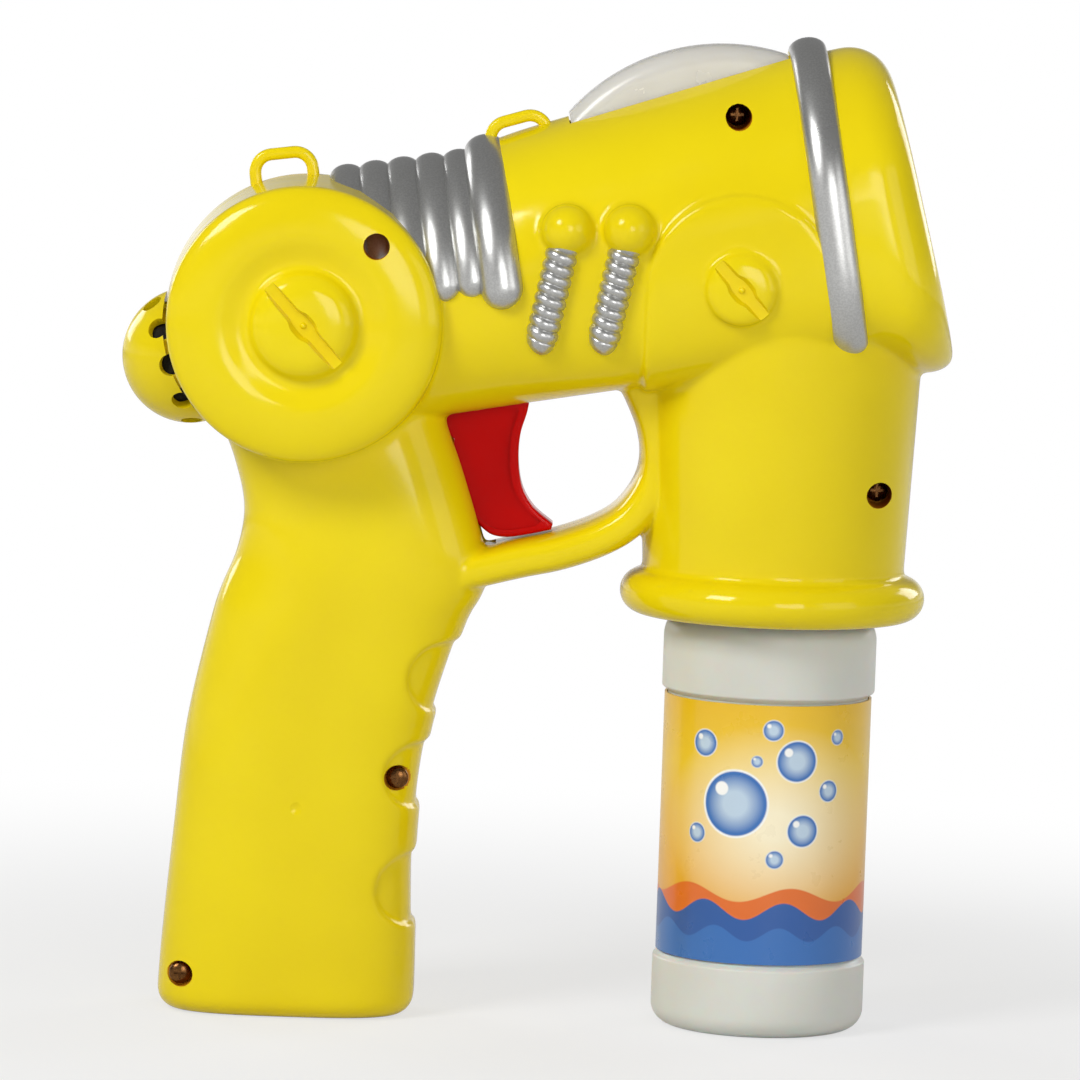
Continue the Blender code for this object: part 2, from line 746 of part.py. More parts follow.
def guard_form():
    line = smooth_line([(x, 0.0, z) for x, z in GUARD_LINE], 2)
    return swept("guard", line, GUARD_HALF_WIDTH, GUARD_HALF_THICKNESS, 8)


def vent_direction():
    return Vector((math.cos(VENT_ANGLE), 0.0, math.sin(VENT_ANGLE)))


def crest_outline(start, end, low, high):
    """An outline in the side view, between two stations and two heights from the barrel's crest."""
    corners = ((start, low), (end, low), (end, high), (start, high))
    points = [barrel_point(s, barrel_radius(s) + h) for s, h in corners]
    return [(p.x, p.z) for p in points]


def copy_of(piece, name):
    twin = bpy.data.objects.new(name, piece.data.copy())
    bpy.context.scene.collection.objects.link(twin)
    return twin


def housing_solid():
    """The outside of the whole housing, both halves in one and not yet hollow."""
    body = drum_form(0.0)
    join(body, barrel_form(0.0), holder_form(0.0))
    grip = grip_form(0.0)
    for low, high in FINGER_GROOVES:
        cut(grip, finger_groove(low, high))
    join(body, grip, guard_form())
    join(body, pad_form())
    for side in (-1, 1):
        join(body, mock_screw(side))
        for top in ORNAMENT_TOPS:
            join(body, ornament(top, side))
    for index in range(RIB_COUNT):
        join(body, bellows_rib(index))
    join(body, muzzle_band())
    for side in (-1, 1):
        cut(body, knob_slot(DRUM_X, DRUM_Z, KNOB_RADIUS, DRUM_DISH_Y + KNOB_RISE, side))
        cut(body, knob_slot(PAD_X, PAD_Z, MOCK_SCREW_RADIUS, MOCK_SCREW_TOP_Y, side))
    return body


def housing_hollow():
    """The space inside the housing, less the posts and bosses that stand in it."""
    hollow = drum_form(WALL, INNER_SEGMENTS, 2)
    join(hollow, barrel_form(WALL, INNER_SEGMENTS), holder_form(WALL, INNER_SEGMENTS))
    join(hollow, grip_form(WALL, INNER_SEGMENTS))
    reach = 2 * DRUM_CREST_Y
    for x, z, _ in SCREW_POINTS:
        cut(hollow, rod("post", POST_RADIUS, (x, -reach, z), (x, reach, z), 8))
    for side in (-1, 1):
        inner = TRIGGER_HALF_WIDTH + 3 * GAP
        start = (PIVOT_X, side * inner, PIVOT_Z)
        end = (PIVOT_X, side * (inner + PIVOT_BOSS_DEPTH), PIVOT_Z)
        cut(hollow, rod("pivot_boss", PIVOT_BOSS_RADIUS, start, end, 10))
    wide = 2 * GRIP_HALF_WIDTH
    cut(hollow, stop_rib_block("stop_rib", 0.0))
    shelf_y = GRIP_HALF_WIDTH - WALL - 2 * GAP
    shelf_top = CELL_CEILING + WALL
    cut(hollow, block("cell_shelf", (-0.1, -wide, CELL_CEILING), (DOOR_X[1] + 0.002, shelf_y, shelf_top)))
    x, z = DOOR_SCREW
    cut(hollow, rod("door_boss", DOOR_BOSS_RADIUS, (x, 0.0, z), (x, shelf_y, z), 10))
    return hollow


def stop_rib_block(name, margin):
    """The rib behind the trigger that its spring and switch lean on."""
    wide = 2 * GRIP_HALF_WIDTH
    low_z, high_z = STOP_RIB_Z
    return block(
        name, (STOP_RIB_X - STOP_RIB_THICKNESS - margin, -wide, low_z - margin),
        (STOP_RIB_X + margin, wide, high_z + margin),
    )


def trigger_slots():
    """The gaps in the grip's front and in the barrel's underside that the trigger swings in."""
    half = TRIGGER_HALF_WIDTH + 2 * GAP
    grip_slot = block("grip_slot", (STOP_RIB_X + 0.004, -half, SLOT_FLOOR_Z), (SLOT_FRONT_X, half, PIVOT_Z))
    hub = TRIGGER_HUB_RADIUS
    barrel_slot = block(
        "barrel_slot", (PIVOT_X - 4 * hub, -half, PIVOT_Z - 4 * hub), (PIVOT_X + 1.6 * hub, half, PIVOT_Z),
    )
    return join(grip_slot, barrel_slot)


def cut_housing_openings(body):
    vent = vent_direction()
    start, end = DRUM_CENTRE + vent * DRUM_RADIUS / 3, DRUM_CENTRE + vent * DRUM_RADIUS * 1.6
    vent_bore = rod("vent_bore", VENT_NECK_RADIUS + GAP, start, end)
    light_slot = prism(
        "light_slot", crest_outline(*DOME_STATIONS, -DOME_SINK - DOME_FOOT, 0.012),
        -DOME_HALF_WIDTH - GAP, DOME_HALF_WIDTH + GAP,
    )
    pin_reach = TRIGGER_PIN_HALF_LENGTH + GAP
    pin_bore = rod(
        "pin_bore", TRIGGER_PIN_RADIUS + GAP,
        (PIVOT_X, -pin_reach, PIVOT_Z), (PIVOT_X, pin_reach, PIVOT_Z), 12,
    )
    return cut(body, vent_bore, light_slot, trigger_slots(), pin_bore)


def door_block(name, inset):
    low_y = CELL_PLACES[0][1] + CELL_RADIUS - 2 * GAP
    return block(
        name, (DOOR_X[0] + inset, low_y + inset, DOOR_Z[0] + inset),
        (DOOR_X[1] - inset, 2 * GRIP_HALF_WIDTH, DOOR_Z[1] - inset),
    )


def door_seat_y():
    return GRIP_HALF_WIDTH - WALL * 0.55


def housing_halves(material):
    body = housing_solid()
    cut(body, housing_hollow())
    cut_housing_openings(body)
    far = 0.2
    left = copy_of(body, "left_shell")
    cut(left, block("far_side", (-far, -GAP / 2, -far), (far, far, 2 * far)))
    right = copy_of(body, "right_shell")
    cut(right, block("near_side", (-far, -far, -far), (far, GAP / 2, 2 * far)))
    bpy.data.objects.remove(body)
    bore = SCREW_SHANK_RADIUS + GAP
    for x, z, seat in SCREW_POINTS:
        cut(left, rod("counterbore", COUNTERBORE_RADIUS, (x, -far, z), (x, -seat, z), 10))
        cut(left, rod("screw_bore", bore, (x, -seat - far / 100, z), (x, far, z), 8))
        cut(right, rod("screw_bore", bore, (x, -far, z), (x, SCREW_REACH_Y + GAP, z), 8))
    for loop in LOOPS:
        join(left, strap_loop(*loop))
    door = copy_of(right, "battery_door")
    combine(door, door_block("door_outline", GAP / 2), "INTERSECT")
    cut(right, door_block("door_gap", -GAP / 2))
    x, z = DOOR_SCREW
    cut(right, rod("door_screw_bore", bore, (x, SCREW_REACH_Y, z), (x, far, z), 8))
    cut(door, rod("door_screw_bore", bore, (x, 0.0, z), (x, far, z), 8))
    cut(door, rod("door_counterbore", COUNTERBORE_RADIUS, (x, door_seat_y(), z), (x, far, z), 12))
    for shell in (left, right, door):
        merge_flat_faces(shell, math.radians(6.0))
        shell.data.materials.clear()
        shell.data.materials.append(material)
        shade(shell)
    return left, right, door


def set_origin(piece, point):
    """Puts a piece's origin on its joint's axis, with the piece left where it is."""
    piece.data.transform(Matrix.Translation(-Vector(point)))
    piece.location = point
    return piece


def inner_fit(radius):
    """The largest round piece that goes into a hollow of this radius, whose wall has flat facets."""
    return radius * math.cos(math.pi / INNER_SEGMENTS) - GAP


def vent_cap(material):
    """The round cap whose neck passes through the drum's wall, with its flange caught inside."""
    out = vent_direction()
    centre = DRUM_CENTRE + out * VENT_DISTANCE
    round_side = arc((0.0, 0.0), VENT_RADIUS, -math.pi / 2, math.pi / 2, 7)
    cap = turned("vent_cap", round_side, centre, out, INNER_SEGMENTS, material)
    far = 2 * VENT_RADIUS
    cut(cap, rod("drum_round", DRUM_RADIUS + GAP, (DRUM_X, -far, DRUM_Z), (DRUM_X, far, DRUM_Z), SEGMENTS))
    flange_out = math.sqrt(inner_fit(DRUM_RADIUS - WALL) ** 2 - VENT_FLANGE_RADIUS ** 2) - GAP
    foot = DRUM_CENTRE + out * (flange_out - VENT_FLANGE)
    neck_end = DRUM_CENTRE + out * (DRUM_RADIUS + WALL)
    join(cap, rod("vent_neck", VENT_NECK_RADIUS, foot, neck_end, INNER_SEGMENTS))
    join(cap, rod("vent_flange", VENT_FLANGE_RADIUS, foot, DRUM_CENTRE + out * flange_out, INNER_SEGMENTS))
    inner = VENT_NECK_RADIUS - WALL * 0.6
    hollow = arc((0.0, VENT_DISTANCE), VENT_RADIUS - WALL * 0.8, math.pi / 8, math.pi / 2, 4)
    hollow = [(0.0, 0.0), (inner, 0.0), (inner, VENT_DISTANCE)] + hollow[:-1] + [(0.0, hollow[-1][1])]
    cut(cap, turned("vent_hollow", hollow, DRUM_CENTRE, out, INNER_SEGMENTS))
    across = out.cross(SIDEWAYS)
    for k in range(VENT_HOLE_COUNT):
        turn = math.tau * k / VENT_HOLE_COUNT
        ray = out * math.cos(VENT_HOLE_TILT)
        ray += (SIDEWAYS * math.cos(turn) + across * math.sin(turn)) * math.sin(VENT_HOLE_TILT)
        start, end = centre + ray * VENT_RADIUS / 2, centre + ray * 2 * VENT_RADIUS
        cut(cap, rod("vent_hole", VENT_HOLE_RADIUS, start, end, 6))
    return shade(merge_flat_faces(cap))


def light_dome(material):
    """A milky window: part of a disc that stands out of the crest, with its foot caught under the wall."""
    start, end = DOME_STATIONS
    edge = 0.5 * DOME_HALF_WIDTH
    side = DOME_HALF_WIDTH - edge
    rim = arc((DOME_RADIUS - edge, side), edge, math.pi / 2, 0.0, 3)
    half = [(radius, y) for radius, y in reversed(rim)] + [(0.0, DOME_HALF_WIDTH)]
    centre = Vector((DOME_X, 0.0, DOME_Z))
    dome = turned("light_dome", both_ways([(DOME_RADIUS, 0.0)] + half), centre, SIDEWAYS, 48, material)
    outline = crest_outline(start + GAP, end - GAP, -DOME_SINK - DOME_FOOT / 2, 0.02)
    combine(dome, prism("dome_keep", outline, -0.05, 0.05), "INTERSECT")
    foot = crest_outline(start - DOME_FOOT_REACH, end + DOME_FOOT_REACH, -DOME_SINK - DOME_FOOT, -DOME_SINK)
    join(dome, prism("dome_foot", foot, -DOME_HALF_WIDTH + edge, DOME_HALF_WIDTH - edge))
    crest = barrel_point(LAMP_STATION, barrel_radius(LAMP_STATION))
    cut(dome, rod("led_pocket", LED_RADIUS + 2 * GAP, barrel_point(LAMP_STATION), crest, 10))
    return shade(dome)


def light(board_material, lamp_material):
    depth = -DOME_SINK - DOME_FOOT - GAP
    half = BOARD_LENGTH / 2
    outline = crest_outline(LAMP_STATION - half, LAMP_STATION + half, depth - BOARD_THICKNESS, depth)
    prism("light_board", outline, -BOARD_WIDTH / 2, BOARD_WIDTH / 2, board_material)
    foot = barrel_point(LAMP_STATION, barrel_radius(LAMP_STATION) + depth)
    profile = [(0.0, GAP), (LED_RADIUS, GAP)]
    profile += arc((0.0, LED_RADIUS), LED_RADIUS, 0.0, math.pi / 2, 3)
    profile[-1] = (0.0, 2 * LED_RADIUS)
    shade(turned("led", profile, foot, BARREL_UP, 10, lamp_material))


def trigger_pieces(red, steel, dark):
    hub = TRIGGER_HUB_RADIUS
    outline = [
        (PIVOT_X + hub * 0.9, PIVOT_Z - hub * 0.4), (-0.0016, 0.1323), (-0.0030, 0.1270), (-0.0032, 0.1210),
        (-0.0022, 0.1155), (0.0006, 0.1114), (0.0040, 0.1086), (0.0036, 0.1074), (-0.0024, 0.1055),
        (-0.0106, 0.1036), (TRIGGER_BACK_X + 0.0015, 0.1040), (TRIGGER_BACK_X, 0.1065),
        (TRIGGER_BACK_X, SWITCH_Z + PLUNGER_RADIUS), (PIVOT_X - hub * 1.1, PIVOT_Z - hub * 1.2),
    ]
    trigger = prism("trigger", outline, -TRIGGER_HALF_WIDTH, TRIGGER_HALF_WIDTH, red)
    bevel_edges(trigger, TRIGGER_EDGE)
    half = TRIGGER_HALF_WIDTH
    join(trigger, axle_rod("hub", PIVOT_X, PIVOT_Z, -half, half, hub, 16))
    cut(trigger, axle_rod("hub_bore", PIVOT_X, PIVOT_Z, -2 * half, 2 * half, TRIGGER_PIN_RADIUS + GAP))
    set_origin(shade(trigger), (PIVOT_X, 0.0, PIVOT_Z))
    length = TRIGGER_PIN_HALF_LENGTH
    shade(axle_rod("trigger_pin", PIVOT_X, PIVOT_Z, -length, length, TRIGGER_PIN_RADIUS, 12, steel))
    trigger_spring(steel)
    back = STOP_RIB_X + GAP
    deep, wide, tall = SWITCH_SIZE
    low, high = SWITCH_Z - tall / 2, SWITCH_Z + tall / 2
    body = block("switch_body", (back, -wide / 2, low), (back + deep, wide / 2, high), dark)
    front = TRIGGER_BACK_X - GAP
    bore_end = (front - PLUNGER_LENGTH - PLUNGER_TRAVEL, 0.0, SWITCH_Z)
    cut(body, rod("plunger_bore", PLUNGER_RADIUS + GAP, bore_end, (front, 0.0, SWITCH_Z), 12))
    start = (front - PLUNGER_LENGTH, 0.0, SWITCH_Z)
    set_origin(shade(rod("switch_plunger", PLUNGER_RADIUS, start, (front, 0.0, SWITCH_Z), 12, red)), start)


def bevel_edges(piece, width):
    """Breaks the long edges of a prism drawn out along Y."""
    bm = bmesh.new()
    bm.from_mesh(piece.data)
    bmesh.ops.dissolve_limit(bm, angle_limit=math.radians(1), verts=bm.verts, edges=bm.edges)
    flat = [f for f in bm.faces if abs(f.normal.y) > 0.9]
    edges = [e for f in flat for e in f.edges]
    bmesh.ops.bevel(
        bm, geom=edges, offset=width, offset_type="OFFSET", affect="EDGES",
        segments=1, profile=0.5, material=-1,
    )
    bmesh.ops.triangulate(bm, faces=bm.faces)
    bm.to_mesh(piece.data)
    bm.free()


def trigger_spring(material):
    """The coil that returns the trigger, between its back and the stop rib."""
    start = STOP_RIB_X + GAP + SPRING_WIRE_RADIUS
    end = TRIGGER_BACK_X - GAP - SPRING_WIRE_RADIUS
    steps = SPRING_TURNS * 6
    line = []
    for i in range(steps + 1):
        turn = math.tau * SPRING_TURNS * i / steps
        x = start + (end - start) * i / steps
        line.append(Vector((x, SPRING_RADIUS * math.cos(turn), SPRING_Z + SPRING_RADIUS * math.sin(turn))))
    pitch = (end - start) / SPRING_TURNS
    print(f"trigger spring: {pitch - 2 * SPRING_WIRE_RADIUS:.4f} m between turns")
    return swept("trigger_spring", line, SPRING_WIRE_RADIUS, sides=4, material=material)


def involute(angle):
    return math.tan(angle) - angle


def gear_outline(teeth, x, z, tooth_at):
    """The outline of a spur gear round a centre, with one tooth pointing along tooth_at."""
    pitch = MODULE * teeth / 2
    base = pitch * math.cos(PRESSURE_ANGLE)
    root = pitch - DEDENDUM * MODULE
    tip = pitch + ADDENDUM * MODULE
    half_at_pitch = math.pi / (2 * teeth) - BACKLASH / pitch

    def half_tooth(radius):
        at = math.acos(min(1.0, base / radius))
        return half_at_pitch + involute(PRESSURE_ANGLE) - involute(at)

    foot = max(half_tooth(max(base, root)), 0.0)
    head = max(half_tooth(tip), 0.02)
    points = []
    for k in range(teeth):
        middle = tooth_at + math.tau * k / teeth
        for radius, turn in ((root, -foot), (tip, -head), (tip, head), (root, foot)):
            points.append((x + radius * math.cos(middle + turn), z + radius * math.sin(middle + turn)))
    return points


def gear(name, teeth, x, z, tooth_at, low_y, high_y, material=None):
    return prism(name, gear_outline(teeth, x, z, tooth_at), low_y, high_y, material)


def axle_rod(name, x, z, low_y, high_y, radius, sides=12, material=None):
    return rod(name, radius, (x, low_y, z), (x, high_y, z), sides, material)


def gear_train(brass, white, steel):
    """Pinion on the motor's shaft, a double idler and the pump's gear, in mesh at rest."""
    first, second = FIRST_LAYER_Y, SECOND_LAYER_Y
    first_end = first + GEAR_WIDTH
    pinion = gear("motor_pinion", PINION_TEETH, DRUM_X, DRUM_Z, IDLER_BEARING, first, first_end, brass)
    wheel_end = CHASSIS_Y - GAP - WHEEL_DEPTH
    join(pinion, axle_rod("motor_shaft", DRUM_X, DRUM_Z, wheel_end, MOTOR_Y - GAP, AXLE_RADIUS))
    set_origin(shade(pinion), DRUM_CENTRE)
    bore = AXLE_RADIUS + GAP
    facing = IDLER_BEARING + math.pi + math.pi / IDLER_TEETH
    idler = gear("idler_gear", IDLER_TEETH, IDLER_X, IDLER_Z, facing, first, first_end, white)
    join(idler, gear("idler_pinion", PINION_TEETH, IDLER_X, IDLER_Z, PUMP_BEARING,
                     first + GEAR_WIDTH / 2, second + GEAR_WIDTH))
    cut(idler, axle_rod("idler_bore", IDLER_X, IDLER_Z, CHASSIS_Y, MOTOR_Y, bore))
    set_origin(shade(idler), (IDLER_X, 0.0, IDLER_Z))
    facing = PUMP_BEARING + math.pi + math.pi / PUMP_TEETH
    pump = gear("pump_gear", PUMP_TEETH, PUMP_X, PUMP_Z, facing, second, second + GEAR_WIDTH, white)
    cut(pump, axle_rod("pump_bore", PUMP_X, PUMP_Z, CHASSIS_Y, MOTOR_Y, bore))
    set_origin(shade(pump), (PUMP_X, 0.0, PUMP_Z))
    bracket_top = BRACKET_Y + PLATE_THICKNESS
    shade(axle_rod("idler_axle", IDLER_X, IDLER_Z, CHASSIS_Y, bracket_top, AXLE_RADIUS, 12, steel))
    rotor_top = MOTOR_Y + ROTOR_WIDTH
    shade(axle_rod("pump_axle", PUMP_X, PUMP_Z, CHASSIS_Y, rotor_top, AXLE_RADIUS, 12, steel))


def pump_rotor(material):
    """The lobed rotor that presses the tube, on a hub that reaches down to the pump's gear."""
    tip = TRACK_RADIUS - 2 * TUBE_RADIUS - 3 * GAP
    steps = 8 * ROTOR_LOBES
    outline = []
    for k in range(steps):
        turn = math.tau * k / steps
        reach = tip - ROTOR_SWING * (1.0 - math.cos(ROTOR_LOBES * turn)) / 2
        outline.append((PUMP_X + reach * math.cos(turn), PUMP_Z + reach * math.sin(turn)))
    low = SECOND_LAYER_Y + GEAR_WIDTH + GAP
    rotor = prism("pump_rotor", outline, MOTOR_Y, MOTOR_Y + ROTOR_WIDTH, material)
    join(rotor, axle_rod("rotor_hub", PUMP_X, PUMP_Z, low, MOTOR_Y + ROTOR_WIDTH / 2, HUB_RADIUS))
    cut(rotor, axle_rod("rotor_bore", PUMP_X, PUMP_Z, CHASSIS_Y, far_y(), AXLE_RADIUS + GAP))
    return set_origin(shade(rotor), (PUMP_X, 0.0, PUMP_Z))


def chassis_plate(material):
    """The plate between the gears and the blower wheel, with the blower's air inlet in it."""
    low, high = CHASSIS_Y, CHASSIS_Y + PLATE_THICKNESS
    radius = inner_fit(drum_radius(CHASSIS_Y) - WALL)
    plate = axle_rod("chassis_plate", DRUM_X, DRUM_Z, low, high, radius, SEGMENTS, material)
    join(plate, axle_rod("pump_lug", PUMP_X, PUMP_Z, low, high, 5 * AXLE_RADIUS, 14))
    vent = vent_direction()
    rear = DRUM_CENTRE + vent * (math.sqrt(radius ** 2 - VENT_FLANGE_RADIUS ** 2) - 3 * VENT_FLANGE)
    cut(plate, rod("vent_room", VENT_FLANGE_RADIUS + 2 * GAP, rear, rear + vent * radius, 16))
    inside = -far_y()
    cut(plate, axle_rod("inlet", DRUM_X, DRUM_Z, inside, -inside, INLET_RADIUS, 16))
    x, z, _ = SCREW_POINTS[0]
    cut(plate, axle_rod("post_hole", x, z, inside, -inside, POST_RADIUS + GAP, 12))
    cut(plate, stop_rib_block("rib_room", GAP))
    for x, z in ((IDLER_X, IDLER_Z), (PUMP_X, PUMP_Z)):
        cut(plate, axle_rod("axle_hole", x, z, inside, -inside, AXLE_RADIUS + GAP, 10))
    return shade(merge_flat_faces(plate))


def far_y():
    """A distance that is well outside the housing."""
    return 2 * DRUM_CREST_Y


def motor_bracket(material):
    """The plate that carries the motor, with the curved wall that the pump presses its tube against."""
    low, high = BRACKET_Y, BRACKET_Y + PLATE_THICKNESS
    outer = TRACK_RADIUS + TRACK_WALL
    rim = MOTOR_RADIUS + 2 * WALL
    plate = axle_rod("motor_bracket", DRUM_X, DRUM_Z, low, high, rim, INNER_SEGMENTS, material)
    join(plate, axle_rod("pump_plate", PUMP_X, PUMP_Z, low, high, outer, INNER_SEGMENTS))
    edge = MOTOR_RADIUS * 0.8
    pump_centre = Vector((PUMP_X, 0.0, PUMP_Z))
    up = SIDEWAYS.cross((pump_centre - DRUM_CENTRE).normalized())
    corners = [DRUM_CENTRE + up * edge, DRUM_CENTRE - up * edge]
    corners += [pump_centre - up * edge, pump_centre + up * edge]
    join(plate, prism("bracket_web", [(p.x, p.z) for p in corners], low, high))
    track_foot, track_end = (PUMP_X, high - GAP, PUMP_Z), (PUMP_X, high + TRACK_HEIGHT, PUMP_Z)
    track = pipe("track", outer, TRACK_RADIUS, track_foot, track_end, SEGMENTS)
    front = PUMP_X + 0.2 * TRACK_RADIUS
    reach = 2 * outer
    cut(track, block("track_mouth", (front, 0.0, PUMP_Z - reach), (front + reach, reach, PUMP_Z + reach)))
    join(plate, track)
    far = far_y()
    cut(plate, axle_rod("shaft_hole", DRUM_X, DRUM_Z, -far, far, 3 * AXLE_RADIUS, 12))
    cut(plate, axle_rod("idler_hole", IDLER_X, IDLER_Z, -far, far, AXLE_RADIUS + GAP, 10))
    cut(plate, axle_rod("hub_hole", PUMP_X, PUMP_Z, -far, far, HUB_RADIUS + GAP, 12))
    x, z, _ = SCREW_POINTS[0]
    cut(plate, axle_rod("post_notch", x, z, -far, far, POST_RADIUS + GAP, 12))
    return shade(merge_flat_faces(plate))


def motor(material):
    body = axle_rod("motor", DRUM_X, DRUM_Z, MOTOR_Y, MOTOR_Y + MOTOR_LENGTH, MOTOR_RADIUS, 24, material)
    boss_start, boss_end = MOTOR_Y + MOTOR_LENGTH / 2, DRUM_DISH_Y - WALL - GAP
    join(body, axle_rod("motor_boss", DRUM_X, DRUM_Z, boss_start, boss_end, MOTOR_RADIUS * 0.35, 14))
    for side in (-1, 1):
        low_z = DRUM_Z + side * MOTOR_RADIUS * 0.78
        cut(body, block(
            "motor_flat", (DRUM_X - 2 * MOTOR_RADIUS, 0.0, min(low_z, low_z + side * MOTOR_RADIUS)),
            (DRUM_X + 2 * MOTOR_RADIUS, far_y(), max(low_z, low_z + side * MOTOR_RADIUS)),
        ))
    return shade(body)


def blower_wheel(material):
    """The centrifugal wheel: a back plate with a hub, and blades that curve backwards."""
    high = CHASSIS_Y - 2 * GAP
    low = high - WHEEL_DEPTH
    back = PLATE_THICKNESS * 0.7
    hub = 3 * AXLE_RADIUS
    profile = [(AXLE_RADIUS + GAP, 0.0), (WHEEL_RADIUS, 0.0), (WHEEL_RADIUS, back), (hub, 2.2 * back),
               (hub, WHEEL_DEPTH), (AXLE_RADIUS + GAP, WHEEL_DEPTH), (AXLE_RADIUS + GAP, 0.0)]
    wheel = turned("blower_wheel", profile, Vector((DRUM_X, high, DRUM_Z)), -SIDEWAYS, SEGMENTS, material)
    for k in range(WHEEL_BLADES):
        turn = math.tau * k / WHEEL_BLADES
        inner, outer = [], []
        for share in (0.0, 0.5, 1.0):
            reach = BLADE_INNER_RADIUS + (WHEEL_RADIUS - GAP - BLADE_INNER_RADIUS) * share
            angle = turn + BLADE_SWEEP * share
            half = BLADE_THICKNESS / 2 / reach
            inner.append((DRUM_X + reach * math.cos(angle - half), DRUM_Z + reach * math.sin(angle - half)))
            outer.append((DRUM_X + reach * math.cos(angle + half), DRUM_Z + reach * math.sin(angle + half)))
        join(wheel, prism("blade", inner + outer[::-1], low, high - back / 2))
    return set_origin(shade(merge_flat_faces(wheel)), DRUM_CENTRE)


def tube_route():
    """The pump tube's way: up from the dip tube, back to the pump, round its track and on to the nozzle."""
    y = MOTOR_Y + ROTOR_WIDTH / 2
    ring = TRACK_RADIUS - TUBE_RADIUS - GAP
    start_z = SOCKET_TOP + DIP_NIPPLE + GAP
    points = [Vector((TANK_X, 0.0, start_z)), Vector((TANK_X, 0.0, start_z + 0.012)),
              Vector((TANK_X - 0.003, 0.001, start_z + 0.026)), Vector((TANK_X - 0.014, y, start_z + 0.036)),
              Vector((TANK_X - 0.035, y, PUMP_Z - ring - 0.002)), Vector((PUMP_X + 0.012, y, PUMP_Z - ring))]
    for k in range(7):
        turn = -math.pi / 2 - math.pi * k / 6
        points.append(Vector((PUMP_X + ring * math.cos(turn), y, PUMP_Z + ring * math.sin(turn))))
    end = barrel_point(NOZZLE_STATION - GAP, NOZZLE_FEED_HEIGHT, y)
    points += [Vector((PUMP_X + 0.012, y, PUMP_Z + ring)), Vector((PUMP_X + 0.030, y, PUMP_Z + ring + 0.004))]
    for back, under in ((0.026, 0.004), (0.009, 0.0012), (0.0, 0.0)):
        points.append(end - BARREL_DIRECTION * back - BARREL_UP * under)
    return points


def pump_tube(material):
    line = smooth_line(tube_route(), 2)
    return shade(swept("pump_tube", line, TUBE_RADIUS, sides=6, material=material))


def bubble_nozzle(material):
    """The ring that the film of solution forms on, in a wall across the barrel."""
    outer = inner_fit(barrel_radius(NOZZLE_STATION) - WALL)
    lip = PLATE_THICKNESS + NOZZLE_LIP
    wall = NOZZLE_RADIUS + PLATE_THICKNESS
    profile = [(NOZZLE_RADIUS, 0.0), (outer, 0.0), (outer, PLATE_THICKNESS), (wall, PLATE_THICKNESS),
               (wall, lip), (NOZZLE_RADIUS, lip), (NOZZLE_RADIUS, 0.0)]
    centre = barrel_point(NOZZLE_STATION)
    nozzle = turned("bubble_nozzle", profile, centre, BARREL_DIRECTION, INNER_SEGMENTS, material)
    depth = DOME_SINK + DOME_FOOT + 3 * GAP
    top = crest_outline(NOZZLE_STATION - lip, NOZZLE_STATION + lip, -depth, DOME_RADIUS)
    cut(nozzle, prism("dome_room", top, -DOME_HALF_WIDTH - 4 * GAP, DOME_HALF_WIDTH + 4 * GAP))
    return shade(merge_flat_faces(nozzle))


def drip_tray(material):
    """A funnel over the tank that takes back what drips off the nozzle."""
    outer = inner_fit(holder_radius(TRAY_Z) - WALL)
    low = TRAY_Z - TRAY_FALL
    thick = PLATE_THICKNESS * 0.8
    drain = TRAY_DRAIN_RADIUS
    profile = [(drain, low), (outer, TRAY_Z), (outer, TRAY_Z + thick), (drain, low + thick), (drain, low)]
    return shade(turned("drip_tray", profile, Vector((TANK_X, 0.0, 0.0)), UPWARD, INNER_SEGMENTS, material))


def tank_socket(material):
    """The cup that the tank's neck screws into, on a disc across the holder."""
    outer = inner_fit(holder_radius(SOCKET_TOP) - WALL)
    low = SOCKET_TOP - SOCKET_WALL
    cup = NECK_RADIUS + SOCKET_PLAY
    hole = DIP_RADIUS + GAP
    foot = NECK_BOTTOM + 2 * SOCKET_PLAY
    profile = [(hole, low), (cup, low), (cup, foot), (cup + SOCKET_WALL, foot), (cup + SOCKET_WALL, low),
               (outer, low), (outer, SOCKET_TOP), (hole, SOCKET_TOP), (hole, low)]
    socket = turned("tank_socket", profile, Vector((TANK_X, 0.0, 0.0)), UPWARD, SEGMENTS, material)
    for side in (-1, 1):
        x = TANK_X + side * TRAY_DRAIN_RADIUS
        cut(socket, rod("drain", SCREW_SHANK_RADIUS, (x, 0.0, low / 2), (x, 0.0, 2 * SOCKET_TOP), 8))
    return shade(merge_flat_faces(socket))


